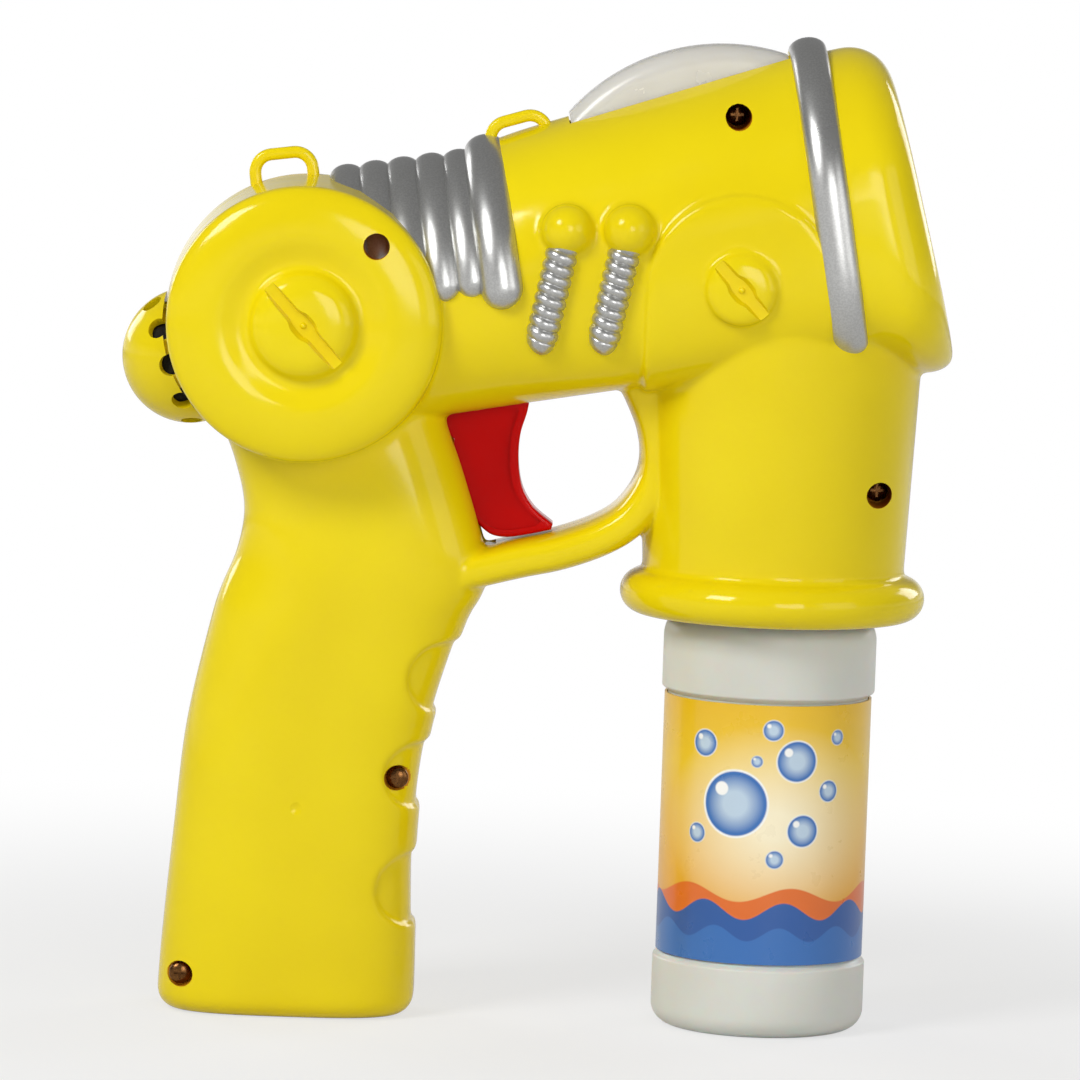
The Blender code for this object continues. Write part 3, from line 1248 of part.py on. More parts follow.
def tank(bottle_material, label_material, rubber, tube_material):
    centre = Vector((TANK_X, 0.0, 0.0))
    seat = TANK_RADIUS - LABEL_INSET - LABEL_THICKNESS - GAP
    wall = TANK_WALL
    foot = [(TANK_RADIUS - TANK_EDGE + TANK_EDGE * math.sin(t), TANK_EDGE * (1.0 - math.cos(t)))
            for t in (0.0, math.pi / 4, math.pi / 2)]
    step = TANK_RADIUS - seat
    shoulder = [(NECK_RADIUS + (TANK_RADIUS - NECK_RADIUS) * math.cos(t),
                 TANK_BAND_TOP + (NECK_BOTTOM - TANK_BAND_TOP) * math.sin(t))
                for t in (0.0, math.pi / 6, math.pi / 3, math.pi / 2)]
    outside = foot + [(TANK_RADIUS, TANK_BASE_HEIGHT - step), (seat, TANK_BASE_HEIGHT), (seat, LABEL_TOP),
                      (TANK_RADIUS, LABEL_TOP + step)] + shoulder + [(NECK_RADIUS, NECK_TOP)]
    inside = [(NECK_RADIUS - wall, NECK_TOP), (NECK_RADIUS - wall, NECK_BOTTOM - wall),
              (seat - wall, TANK_BAND_TOP - wall), (seat - wall, TANK_EDGE),
              (seat - wall - TANK_EDGE / 2, 1.2 * wall)]
    profile = [(0.0, 0.0)] + outside + inside + [(0.0, 1.2 * wall)]
    bottle = turned("bottle", profile, centre, UPWARD, SEGMENTS, bottle_material)
    set_origin(shade(bottle), centre)
    sleeve = seat + GAP
    label = pipe("tank_label", sleeve + LABEL_THICKNESS, sleeve, (TANK_X, 0.0, TANK_BASE_HEIGHT + GAP),
                 (TANK_X, 0.0, LABEL_TOP - GAP), SEGMENTS, label_material)
    set_origin(shade(label), centre)
    seal = pipe("seal_ring", NECK_RADIUS - GAP, NECK_RADIUS - 2.5 * wall, (TANK_X, 0.0, NECK_TOP + GAP),
                (TANK_X, 0.0, SOCKET_TOP - SOCKET_WALL - GAP), INNER_SEGMENTS, rubber)
    set_origin(shade(seal), centre)
    shade(pipe("dip_tube", DIP_RADIUS, DIP_BORE, (TANK_X, 0.0, DIP_BOTTOM),
               (TANK_X, 0.0, SOCKET_TOP + DIP_NIPPLE), 12, tube_material))


def cells(can_material, metal):
    """Three cells in a row, turned about in turn, with a strip of metal at each end."""
    for number, (x, y) in enumerate(CELL_PLACES, 1):
        nub = CELL_NUB_HEIGHT
        profile = [(0.0, 0.0), (CELL_RADIUS, 0.0), (CELL_RADIUS, CELL_LENGTH), (CELL_NUB_RADIUS, CELL_LENGTH),
                   (CELL_NUB_RADIUS, CELL_LENGTH + nub), (0.0, CELL_LENGTH + nub)]
        flipped = number % 2 == 0
        foot = CELL_BOTTOM + (CELL_LENGTH + nub if flipped else 0.0)
        axis = -UPWARD if flipped else UPWARD
        shade(turned(f"cell_{number}", profile, Vector((x, y, foot)), axis, INNER_SEGMENTS, can_material))
    xs = [x for x, _ in CELL_PLACES]
    ys = [y for _, y in CELL_PLACES]
    low_x, high_x = min(xs) - CELL_RADIUS / 2, max(xs) + CELL_RADIUS / 2
    top = CELL_CEILING - GAP
    block("top_contact", (low_x, min(ys), top - CONTACT_THICKNESS), (high_x, max(ys), top), metal)
    under = CELL_BOTTOM - GAP
    strip = under - CONTACT_THICKNESS
    contact = block("bottom_contact", (low_x, min(ys), strip), (high_x, max(ys), under), metal)
    tab = CONTACT_THICKNESS * 2
    for x in (low_x + CELL_RADIUS, high_x - CELL_RADIUS):
        foot_top = under - CONTACT_THICKNESS / 2
        join(contact, block("contact_foot", (x - tab, min(ys), WALL + GAP), (x + tab, max(ys), foot_top)))


def screw(name, head, direction, length, material):
    """A pan-head screw from the underside of its head."""
    shank, rim, top = SCREW_SHANK_RADIUS, SCREW_HEAD_RADIUS, -SCREW_HEAD_HEIGHT
    profile = [(0.0, length), (shank * 0.5, length), (shank, length - shank), (shank, 0.0), (rim, 0.0),
               (rim, top * 0.5), (rim * 0.6, top), (0.0, top)]
    return shade(turned(name, profile[::-1], Vector(head), direction, 8, material))


def fasteners(material):
    for number, (x, z, seat) in enumerate(SCREW_POINTS, 1):
        head = (x, -seat - GAP, z)
        screw(f"shell_screw_{number}", head, SIDEWAYS, seat + SCREW_REACH_Y, material)
    x, z = DOOR_SCREW
    seat = door_seat_y() + GAP
    piece = screw("door_screw", (x, seat, z), -SIDEWAYS, seat - SCREW_REACH_Y - 2 * GAP, material)
    set_origin(piece, (x, GRIP_HALF_WIDTH, DOOR_Z[0]))


def build():
    clear_scene()
    yellow = plastic("yellow_plastic", (0.80, 0.66, 0.01), 0.25)
    red = plastic("red_plastic", (0.38, 0.004, 0.002), 0.25)
    white = plastic("white_plastic", (0.60, 0.62, 0.55), 0.35)
    milky = plastic("milky_plastic", (0.62, 0.59, 0.49), 0.30, alpha=0.6)
    label = plastic("label_film", (0.90, 0.62, 0.06), 0.30)
    dark = plastic("dark_plastic", (0.02, 0.02, 0.02), 0.40)
    green = plastic("board", (0.02, 0.20, 0.05), 0.50)
    rubber = plastic("silicone", (0.55, 0.55, 0.52), 0.45)
    steel = plastic("steel", (0.55, 0.55, 0.55), 0.30, 1.0)
    brass = plastic("brass", (0.60, 0.40, 0.12), 0.30, 1.0)
    gear_white = plastic("gear_plastic", (0.75, 0.75, 0.72), 0.40)
    _, _, door = housing_halves(yellow)
    middle_x = sum(DOOR_X) / 2
    set_origin(door, (middle_x, GRIP_HALF_WIDTH, DOOR_Z[0]))
    vent_cap(yellow)
    light_dome(milky)
    light(green, white)
    trigger_pieces(red, steel, dark)
    gear_train(brass, gear_white, steel)
    pump_rotor(gear_white)
    chassis_plate(dark)
    motor_bracket(dark)
    motor(steel)
    blower_wheel(gear_white)
    pump_tube(rubber)
    bubble_nozzle(yellow)
    drip_tray(yellow)
    tank_socket(white)
    tank(white, label, rubber, white)
    cells(dark, steel)
    fasteners(brass)


build()
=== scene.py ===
# %% [markdown]
# # A toy bubble pistol
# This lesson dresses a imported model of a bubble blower: the frame gives every piece at its real size,
# and the cells below add the glossy mouldings, the satin silver paint, the milky tank and its label.
# All sizes are in metres. The muzzle points along +X, the near half of the housing is at -Y, +Z is up.

# %% Load the frame
import json
import math

import bmesh
import bpy
from mathutils import Matrix, Vector

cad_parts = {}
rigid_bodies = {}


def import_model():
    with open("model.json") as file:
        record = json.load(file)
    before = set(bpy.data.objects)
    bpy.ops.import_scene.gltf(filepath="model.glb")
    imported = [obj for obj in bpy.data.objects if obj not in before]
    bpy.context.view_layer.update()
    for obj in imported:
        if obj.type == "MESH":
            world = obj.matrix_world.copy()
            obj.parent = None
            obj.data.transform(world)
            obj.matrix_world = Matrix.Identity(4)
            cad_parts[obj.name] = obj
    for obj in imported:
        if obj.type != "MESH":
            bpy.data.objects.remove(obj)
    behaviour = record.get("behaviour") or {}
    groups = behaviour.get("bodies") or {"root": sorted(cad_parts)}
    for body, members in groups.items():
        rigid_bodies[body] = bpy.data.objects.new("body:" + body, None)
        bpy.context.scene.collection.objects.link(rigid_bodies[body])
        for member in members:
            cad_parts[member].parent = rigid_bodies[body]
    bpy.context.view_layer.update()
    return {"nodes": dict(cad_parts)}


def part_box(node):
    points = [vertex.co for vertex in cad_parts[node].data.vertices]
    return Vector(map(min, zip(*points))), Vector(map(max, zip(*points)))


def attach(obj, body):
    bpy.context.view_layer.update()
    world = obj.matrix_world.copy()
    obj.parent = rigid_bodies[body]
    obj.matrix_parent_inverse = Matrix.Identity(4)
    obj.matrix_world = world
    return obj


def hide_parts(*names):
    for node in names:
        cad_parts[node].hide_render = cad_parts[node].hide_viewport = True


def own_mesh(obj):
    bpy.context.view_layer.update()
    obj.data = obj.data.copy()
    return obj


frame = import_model()
nodes = frame["nodes"]

# %% [markdown]
# ## Studio
# A product picture like this one is taken from far off with a long lens, a little from above and with
# the camera slightly tilted. The floor keeps the shadow near the toy and turns to the white of the world
# further out, so no horizon shows. The ceiling is darker, which gives the gloss something to mirror. The
# lamps are large and soft, and draw broad highlights on the glossy plastic.

# %% Camera and lamps
scene = bpy.context.scene
scene.view_settings.view_transform = "Standard"

CAMERA_TARGET = Vector((0.0020, 0.0, 0.1039))
CAMERA_DISTANCE = 1.6
CAMERA_ELEVATION = math.radians(5.5)
CAMERA_ROLL = math.radians(2.0)
FRAME_WIDTH = 0.2333
SENSOR_WIDTH = 36.0

lens = bpy.data.cameras.new("camera")
lens.sensor_width = SENSOR_WIDTH
lens.lens = SENSOR_WIDTH * CAMERA_DISTANCE / FRAME_WIDTH
camera = bpy.data.objects.new("camera", lens)
away = Vector((0.0, -math.cos(CAMERA_ELEVATION), math.sin(CAMERA_ELEVATION)))
camera.location = CAMERA_TARGET + away * CAMERA_DISTANCE
look = (-away).to_track_quat("-Z", "Y").to_matrix()
camera.rotation_euler = (look @ Matrix.Rotation(CAMERA_ROLL, 3, "Z")).to_euler()
scene.collection.objects.link(camera)
scene.camera = camera


def softbox(name, place, size, power):
    """A square area lamp that faces the middle of the toy."""
    lamp = bpy.data.lights.new(name, "AREA")
    lamp.size = size
    lamp.energy = power
    holder = bpy.data.objects.new(name, lamp)
    holder.location = place
    holder.rotation_euler = (CAMERA_TARGET - Vector(place)).to_track_quat("-Z", "Y").to_euler()
    scene.collection.objects.link(holder)


softbox("key_softbox", (-0.80, -0.85, 0.95), 0.45, 11.0)
softbox("side_softbox", (0.95, -0.75, 0.40), 0.60, 1.7)
softbox("front_softbox", (0.35, -1.45, 0.42), 0.55, 5.0)
softbox("rear_left_softbox", (-0.90, 0.95, 0.50), 0.50, 3.6)
softbox("rear_right_softbox", (0.90, 0.95, 0.50), 0.50, 3.6)
print(f"camera at {camera.location.y:.2f} m, lens {lens.lens:.0f} mm")


# %% Node helpers for the world, the floor and the finishes
def shader_node(tree, kind, values=None, **links):
    """A node with its input values by name and its links by name. An underscore in a name is a space."""
    node = tree.nodes.new("ShaderNode" + kind)
    for socket, value in (values or {}).items():
        node.inputs[socket].default_value = value
    for socket, source in links.items():
        tree.links.new(source, node.inputs[socket.replace("_", " ")])
    return node


def shader_math(tree, operation, first, second):
    """A calculation with two values, each a number or a socket."""
    node = tree.nodes.new("ShaderNodeMath")
    node.operation = operation
    for socket, value in zip(node.inputs, (first, second)):
        if isinstance(value, (int, float)):
            socket.default_value = value
        else:
            tree.links.new(value, socket)
    return node.outputs[0]


def shader_choice(tree, share, first, second):
    """Two shaders mixed by a share."""
    node = shader_node(tree, "MixShader", Fac=share)
    tree.links.new(first.outputs[0], node.inputs[1])
    tree.links.new(second.outputs[0], node.inputs[2])
    return node.outputs[0]


def seen_directly(tree, mirrored=1.0):
    """1 for rays from the camera or through clear plastic, and a share of it for those that mirror."""
    path = tree.nodes.new("ShaderNodeLightPath")
    clear = shader_math(tree, "MAXIMUM", path.outputs["Is Camera Ray"], path.outputs["Is Transmission Ray"])
    glossy = shader_math(tree, "MULTIPLY", path.outputs["Is Glossy Ray"], mirrored)
    return shader_math(tree, "MAXIMUM", clear, glossy)


print("node helpers ready")

# %% World
WORLD_LIGHT, CEILING_LIGHT, CEILING_RISE = 0.28, 0.22, 0.20
WHITE = (1.0, 1.0, 1.0, 1.0)

world = bpy.data.worlds.new("studio")
world.use_nodes = True
scene.world = world
tree = world.node_tree
tree.nodes.clear()
direction = tree.nodes.new("ShaderNodeTexCoord").outputs["Generated"]
sky = shader_node(tree, "SeparateXYZ", Vector=direction)
ceiling = shader_node(tree, "MapRange", {"From Max": CEILING_RISE, "To Min": 1.0, "To Max": CEILING_LIGHT},
                      Value=sky.outputs["Z"])
dim = shader_node(tree, "Background", {"Color": WHITE, "Strength": WORLD_LIGHT})
white = shader_node(tree, "Background", {"Color": WHITE}, Strength=ceiling.outputs["Result"])
shader_node(tree, "OutputWorld", Surface=shader_choice(tree, seen_directly(tree), dim, white))
print("world light:", WORLD_LIGHT)

# %% Floor
FLOOR_SIZE = 6.0
FLOOR_GREY, SHADOW_REACH, WHITE_FROM = 0.68, 0.10, 0.40
NEAR_WHITE, FLOOR_MIRRORED = 0.65, 0.3
PAPER_ROUGHNESS = 0.9

floor_mesh = bmesh.new()
bmesh.ops.create_grid(floor_mesh, x_segments=1, y_segments=1, size=FLOOR_SIZE / 2)
floor_data = bpy.data.meshes.new("floor")
floor_mesh.to_mesh(floor_data)
floor_mesh.free()
floor = bpy.data.objects.new("floor", floor_data)
scene.collection.objects.link(floor)
floor_paint = bpy.data.materials.new("floor_paint")
floor_paint.use_nodes = True
tree = floor_paint.node_tree
paper = tree.nodes["Principled BSDF"]
paper.inputs["Base Color"].default_value = (FLOOR_GREY, FLOOR_GREY, FLOOR_GREY, 1.0)
paper.inputs["Roughness"].default_value = PAPER_ROUGHNESS
shine = shader_node(tree, "Emission", {"Strength": 1.0})
radius = shader_node(tree, "VectorMath", Vector=tree.nodes.new("ShaderNodeTexCoord").outputs["Object"])
radius.operation = "LENGTH"
fade = shader_node(tree, "MapRange", Value=radius.outputs["Value"], values={
    "From Min": SHADOW_REACH, "From Max": WHITE_FROM, "To Min": NEAR_WHITE})
fade.interpolation_type = "SMOOTHSTEP"
share = shader_math(tree, "MULTIPLY", fade.outputs["Result"], seen_directly(tree, FLOOR_MIRRORED))
surface = tree.nodes["Material Output"].inputs["Surface"]
tree.links.new(shader_choice(tree, share, paper, shine), surface)
floor_data.materials.append(floor_paint)
print("floor:", FLOOR_SIZE, "m wide")

# %% [markdown]
# ## Tools for the mouldings
# Nearly every form here is either turned on an axis or drawn along a line. A profile that is spun gives
# the first kind. For the second, circles are set along the line and bridged, which keeps the section round
# in the bends. Both give closed meshes, which can then be joined to and cut from each other.

# %% Spun and bridged forms
SIDEWAYS = Vector((0.0, 1.0, 0.0))
UPWARD = Vector((0.0, 0.0, 1.0))
FINE = 96
SHARP_ANGLE = math.radians(32)


def along_axis(centre, axis):
    """The placing of something made on the Z axis onto another axis."""
    return Matrix.Translation(centre) @ axis.to_track_quat("Z", "Y").to_matrix().to_4x4()


def tidy(shape):
    """Merges the poles and seams of a shape and turns its faces outwards."""
    bmesh.ops.remove_doubles(shape, verts=shape.verts, dist=1e-7)
    bmesh.ops.recalc_face_normals(shape, faces=shape.faces)
    return shape


def spun(profile, centre, axis=UPWARD, steps=FINE):
    """Spins a profile of (radius, way along the axis) right round."""
    shape = bmesh.new()
    points = [shape.verts.new((radius, 0.0, way)) for radius, way in profile]
    edges = [shape.edges.new(pair) for pair in zip(points, points[1:])]
    bmesh.ops.spin(shape, geom=points + edges, cent=(0, 0, 0), axis=(0, 0, 1),
                   angle=math.tau, steps=steps, use_merge=True)
    tidy(shape)
    bmesh.ops.transform(shape, matrix=along_axis(centre, axis), verts=shape.verts)
    return shape


def bridged(frames, sides, squareness=2.0):
    """Bridges a unit circle set at each frame. A squareness over 2 makes it a squarish oval."""
    shape = bmesh.new()
    rims = []
    for frame_matrix in frames:
        last = len(rims) in (0, len(frames) - 1)
        ring = bmesh.ops.create_circle(shape, cap_ends=last, segments=sides, radius=1.0)["verts"]
        for vert in ring:
            vert.co.x = math.copysign(abs(vert.co.x) ** (2.0 / squareness), vert.co.x)
            vert.co.y = math.copysign(abs(vert.co.y) ** (2.0 / squareness), vert.co.y)
        bmesh.ops.transform(shape, matrix=frame_matrix, verts=ring)
        inside = set(ring)
        rims.append([e for e in {e for v in ring for e in v.link_edges} if set(e.verts) <= inside])
    for low, high in zip(rims, rims[1:]):
        bmesh.ops.bridge_loops(shape, edges=low + high)
    return tidy(shape)


def path_frames(path, across, thick):
    """Frames along a path, with X to the side and Y across the bend. The sizes may be lists."""
    frames = []
    side = SIDEWAYS
    for i, point in enumerate(path):
        ahead = (path[min(i + 1, len(path) - 1)] - path[max(i - 1, 0)]).normalized()
        side = (side - ahead * side.dot(ahead)).normalized()
        up = ahead.cross(side)
        wide = across[i] if isinstance(across, list) else across
        deep = thick[i] if isinstance(thick, list) else thick
        columns = Matrix((side * wide, up * deep, ahead)).transposed().to_4x4()
        frames.append(Matrix.Translation(point) @ columns)
    return frames


def rod(radius, start, end, steps=32):
    """A plain round bar, for cutting holes and posts."""
    way = Vector(end) - Vector(start)
    profile = [(0.0, 0.0), (radius, 0.0), (radius, way.length), (0.0, way.length)]
    return spun(profile, Vector(start), way.normalized(), steps)


def slab(low, high):
    """A plain block between two corners, for cutting."""
    shape = bmesh.new()
    bmesh.ops.create_cube(shape, size=1.0)
    size = Vector(high) - Vector(low)
    middle = (Vector(high) + Vector(low)) / 2
    placing = Matrix.Translation(middle) @ Matrix.Diagonal((*size, 1.0))
    bmesh.ops.transform(shape, matrix=placing, verts=shape.verts)
    return shape


def ball(radius, centre, steps):
    """A round ball."""
    shape = bmesh.new()
    bmesh.ops.create_uvsphere(shape, u_segments=steps, v_segments=steps // 2, radius=radius)
    bmesh.ops.translate(shape, vec=centre, verts=shape.verts)
    return shape


def plate(outline, low_y, high_y):
    """An outline of (x, z) points extruded along Y."""
    shape = bmesh.new()
    face = shape.faces.new([shape.verts.new((x, low_y, z)) for x, z in outline])
    pulled = bmesh.ops.extrude_face_region(shape, geom=[face])["geom"]
    corners = [g for g in pulled if isinstance(g, bmesh.types.BMVert)]
    bmesh.ops.translate(shape, vec=(0.0, high_y - low_y, 0.0), verts=corners)
    return tidy(shape)


def arc(centre, radius, start, end, steps):
    """Points along an arc, both ends included."""
    turns = [start + (end - start) * i / steps for i in range(steps + 1)]
    return [(centre[0] + radius * math.cos(t), centre[1] + radius * math.sin(t)) for t in turns]


def smooth_path(points, per_span=6):
    """A smooth curve through given points."""
    points = [Vector(p) for p in points]
    padded = [2 * points[0] - points[1], *points, 2 * points[-1] - points[-2]]
    path = []
    for a, b, c, d in zip(padded, padded[1:], padded[2:], padded[3:]):
        for i in range(per_span):
            t = i / per_span
            path.append(0.5 * (2 * b + (c - a) * t + (2 * a - 5 * b + 4 * c - d) * t * t
                               + (3 * b - a - 3 * c + d) * t ** 3))
    return [*path, points[-1]]


def piece(name, shape):
    """An object at the origin from a bmesh, with its place in its mesh."""
    data = bpy.data.meshes.new(name)
    bmesh.ops.triangulate(shape, faces=[f for f in shape.faces if len(f.verts) > 4])
    shape.to_mesh(data)
    shape.free()
    made = bpy.data.objects.new(name, data)
    scene.collection.objects.link(made)
    return made


def twin(made, name):
    """A second object with a mesh of its own."""
    copied = bpy.data.objects.new(name, made.data.copy())
    scene.collection.objects.link(copied)
    return copied


def baked(made):
    """Fixes an object's modifiers into its mesh."""
    graph = bpy.context.evaluated_depsgraph_get()
    data = bpy.data.meshes.new_from_object(made.evaluated_get(graph))
    made.modifiers.clear()
    old = made.data
    data.name = made.name
    made.data = data
    bpy.data.meshes.remove(old)
    return made


def carved(made, shape, how="DIFFERENCE"):
    """Cuts a shape from a piece, joins it on, or keeps what both share."""
    tool = shape if isinstance(shape, bpy.types.Object) else piece("tool", shape)
    cut = made.modifiers.new("cut", "BOOLEAN")
    cut.operation = how
    cut.solver = "MANIFOLD"
    cut.object = tool
    baked(made)
    bpy.data.objects.remove(tool)
    return made


def smooth(made):
    """Smooth shading, with the edges over a limit kept sharp."""
    made.data.shade_smooth()
    made.data.set_sharp_from_angle(angle=SHARP_ANGLE)
    return made


def finished(made, finish, body_name, slot_name, *stood_for):
    """Gives a piece its finish and the body it rides on, and hides the frame's nodes that it stands for."""
    made.data.materials.clear()
    made.data.materials.append(finish.material)
    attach(made, body_name)
    if stood_for:
        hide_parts(*stood_for)
    return made


print("tools ready")

# %% [markdown]
# ## Finishes
# Moulded plastic is never one flat colour: the pigment flows unevenly, the gloss varies a little where
# hands have been, and the surface has a faint ripple from the mould. Each finish below mixes two close
# colours with a soft noise, and lets finer noises drive the roughness and a very low bump.

# %% A finish from nodes
def linear(*channels):
    """Turns display colours from 0 to 255 into the linear values that a shader takes."""
    values = [c / 255 for c in channels]
    return tuple(v / 12.92 if v <= 0.04045 else ((v + 0.055) / 1.055) ** 2.4 for v in values) + (1.0,)


class Finish:
    """A Principled material with helpers for the nodes that vary it."""

    def __init__(self, name):
        self.material = bpy.data.materials.new(name)
        self.material.use_nodes = True
        self.tree = self.material.node_tree
        self.shader = self.tree.nodes["Principled BSDF"]
        self.place = self.tree.nodes.new("ShaderNodeTexCoord").outputs["Object"]

    def set(self, **values):
        """Sets the shader's inputs by name."""
        for socket, value in values.items():
            self.shader.inputs[socket.replace("_", " ")].default_value = value
        return self

    def link(self, source, target):
        """Joins two sockets."""
        self.tree.links.new(source, target)

    def noise(self, scale, detail):
        """A noise in the object's own space."""
        node = shader_node(self.tree, "TexNoise", {"Scale": scale, "Detail": detail}, Vector=self.place)
        return node.outputs["Fac"]

    def ramp(self, value, *stops):
        """A colour ramp from (position, colour) stops."""
        node = self.tree.nodes.new("ShaderNodeValToRGB")
        ramp = node.color_ramp
        while len(ramp.elements) < len(stops):
            ramp.elements.new(0.5)
        for element, (position, colour) in zip(ramp.elements, stops):
            element.position = position
            element.color = colour
        self.link(value, node.inputs["Fac"])
        return node.outputs["Color"]

    def between(self, value, low, high, start=0.3, end=0.7):
        """Carries a value from one range to another."""
        node = shader_node(self.tree, "MapRange", Value=value, values={
            "From Min": start, "From Max": end, "To Min": low, "To Max": high})
        return node.outputs["Result"]

    def math(self, operation, first, second=0.0):
        """A calculation in this finish."""
        return shader_math(self.tree, operation, first, second)

    def mix(self, value, first, second):
        """Two colours, or colour sockets, mixed by a value."""
        node = self.tree.nodes.new("ShaderNodeMix")
        node.data_type = "RGBA"
        self.link(value, node.inputs["Factor"])
        for socket, colour in ((node.inputs[6], first), (node.inputs[7], second)):
            if isinstance(colour, tuple):
                socket.default_value = colour
            else:
                self.link(colour, socket)
        return node.outputs[2]

    def colour(self, source):
        """Takes the colour from a socket."""
        self.link(source, self.shader.inputs["Base Color"])
        return self

    def roughness(self, source):
        """Takes the roughness from a socket."""
        self.link(source, self.shader.inputs["Roughness"])
        return self

    def bump(self, height, distance, strength=0.3):
        """Raises the surface a little by a height."""
        node = shader_node(self.tree, "Bump", {"Strength": strength, "Distance": distance}, Height=height)
        self.link(node.outputs["Normal"], self.shader.inputs["Normal"])
        return self


def moulded(name, light, dark, gloss):
    """Glossy moulded plastic between two close colours."""
    finish = Finish(name)
    finish.colour(finish.ramp(finish.noise(26.0, 2.0), (0.32, dark), (0.68, light)))
    smears = finish.math("MULTIPLY", finish.noise(180.0, 6.0), finish.noise(40.0, 2.0))
    finish.roughness(finish.between(smears, *gloss, 0.15, 0.42))
    finish.bump(finish.noise(420.0, 2.0), 0.00004)
    return finish


def mottled(name, grain, dark, light, rub, gloss, start=0.3, **values):
    """Two colours in a grain and a gloss that varies where it is rubbed, for all that isn't moulded."""
    finish = Finish(name).set(**values)
    finish.colour(finish.ramp(finish.noise(*grain), (start, linear(*dark)), (1.0 - start, linear(*light))))
    finish.roughness(finish.between(finish.noise(*rub), *gloss))
    return finish


yellow = moulded("yellow_moulding", linear(238, 215, 12), linear(231, 206, 10), (0.10, 0.18))
yellow.set(IOR=1.46, Specular_IOR_Level=0.30)
red = moulded("red_moulding", linear(206, 6, 3), linear(188, 4, 2), (0.12, 0.2))
red.set(IOR=1.46, Specular_IOR_Level=0.1)
nylon = moulded("natural_nylon", linear(225, 224, 216), linear(214, 212, 203), (0.32, 0.42))
black = moulded("black_moulding", linear(36, 36, 38), linear(26, 26, 28), (0.35, 0.5))
print("moulded finishes:", ", ".join(f.material.name for f in (yellow, red, nylon, black)))

# %% [markdown]
# ## The forms of the housing
# The real housing is moulded in two halves, but it was surely designed as one body and then split. The
# same is done here: a turned drum, a tapered barrel with a rounded muzzle, a turned tank holder and a
# squarish grip are made as closed forms, once at full size and once smaller by the wall, for the hollow.

# %% Turned drum
WALL = 0.0022
DRUM_CENTRE = Vector((-0.0495, 0.0, 0.1507))
DRUM_RADIUS = 0.03065
DRUM_DRAFT = 0.048
DRUM_EDGE_Y = 0.0294
CREST_RADIUS, CREST_Y = 0.019, 0.033
DISH_RADIUS, DISH_Y = 0.0125, 0.0315
KNOB_RADIUS, KNOB_RISE, KNOB_POWER = 0.0116, 0.0043, 0.42
SHOULDER_STEPS, DISH_STEPS, TURNED_STEPS = 14, 8, 144


def quarter_turns(steps):
    """The angles of a quarter of a circle, both ends included."""
    return [math.pi / 2 * i / steps for i in range(steps + 1)]


def knob_profile(radius, rise, foot):
    """A low dome with a steep rim, from its foot to the axis."""
    return [(radius * max(0.0, math.cos(turn)) ** KNOB_POWER, foot + rise * math.sin(turn))
            for turn in quarter_turns(20)]


def drum_form(inset):
    """Rim, domed shoulder, crest ring and dish, with a knob in the middle of the outer form."""
    edge = DRUM_RADIUS - DRUM_DRAFT * DRUM_EDGE_Y - inset
    half = [(DRUM_RADIUS - inset, 0.0)]
    for turn in quarter_turns(SHOULDER_STEPS):
        half.append((CREST_RADIUS + (edge - CREST_RADIUS) * math.cos(turn),
                     DRUM_EDGE_Y - inset + (CREST_Y - DRUM_EDGE_Y) * math.sin(turn)))
    for i in range(1, DISH_STEPS + 1):
        share = i / DISH_STEPS
        fall = (1.0 - math.cos(math.pi * share)) / 2
        half.append((CREST_RADIUS + (DISH_RADIUS - CREST_RADIUS) * share,
                     CREST_Y - inset - (CREST_Y - DISH_Y) * fall))
    half += [(0.0, DISH_Y - inset)] if inset else knob_profile(KNOB_RADIUS, KNOB_RISE, DISH_Y)
    profile = [(radius, -y) for radius, y in reversed(half)] + half[1:]
    return spun(profile, DRUM_CENTRE, SIDEWAYS, TURNED_STEPS)


# %% Barrel with a rounded muzzle
BARREL_ANGLE = math.radians(14.6)
FORWARD = Vector((math.cos(BARREL_ANGLE), 0.0, math.sin(BARREL_ANGLE)))
CROWN = Vector((-math.sin(BARREL_ANGLE), 0.0, math.cos(BARREL_ANGLE)))
BARREL_START, BARREL_TAPER, BARREL_LENGTH = 0.0256, 0.0648, 0.118
MUZZLE_LENGTH, MUZZLE_ROUND = 0.0155, 0.0095
MOUTH_RADIUS = 0.0212
LIP_FLARE = 0.0145
UNDERSIDE = (2.7, 4.2)
BED_DEPTH, MUZZLE_DROP = 0.0014, 0.0020
UNDERSIDE_CHANGE, BED_END, MUZZLE_CHANGE = (0.030, 0.080), (0.030, 0.056), (0.1145, 0.119)
BED_EDGE = 0.35
BEAK_START = 0.45
BARREL_STEPS, BEAK_STEPS, MUZZLE_STEPS = 40, 8, 14


def barrel_radius(station):
    """The barrel's radius, which grows towards the muzzle."""
    return BARREL_START + BARREL_TAPER * station


def barrel_point(station, height=0.0, side=0.0):
    """A point by its way along the barrel's axis, above it and to its side."""
    return DRUM_CENTRE + FORWARD * station + CROWN * height + SIDEWAYS * side


def eased(value, start, end):
    """0 before the start and 1 after the end, with a soft change between."""
    share = min(1.0, max(0.0, (value - start) / (end - start)))
    return share * share * (3.0 - 2.0 * share)


def barrel_reach(station, radius, up, across):
    """The barrel's section: round above, squarer below, lower under the bellows and at the muzzle."""
    power = UNDERSIDE[0] + (UNDERSIDE[1] - UNDERSIDE[0]) * eased(station, *UNDERSIDE_CHANGE)
    if up < 0.0:
        return radius / (abs(up) ** power + abs(across) ** power) ** (1.0 / power)
    bed = BED_DEPTH * (1.0 - eased(station, *BED_END)) * eased(up, 0.0, BED_EDGE)
    return radius - bed - MUZZLE_DROP * eased(station, *MUZZLE_CHANGE) * up ** 3


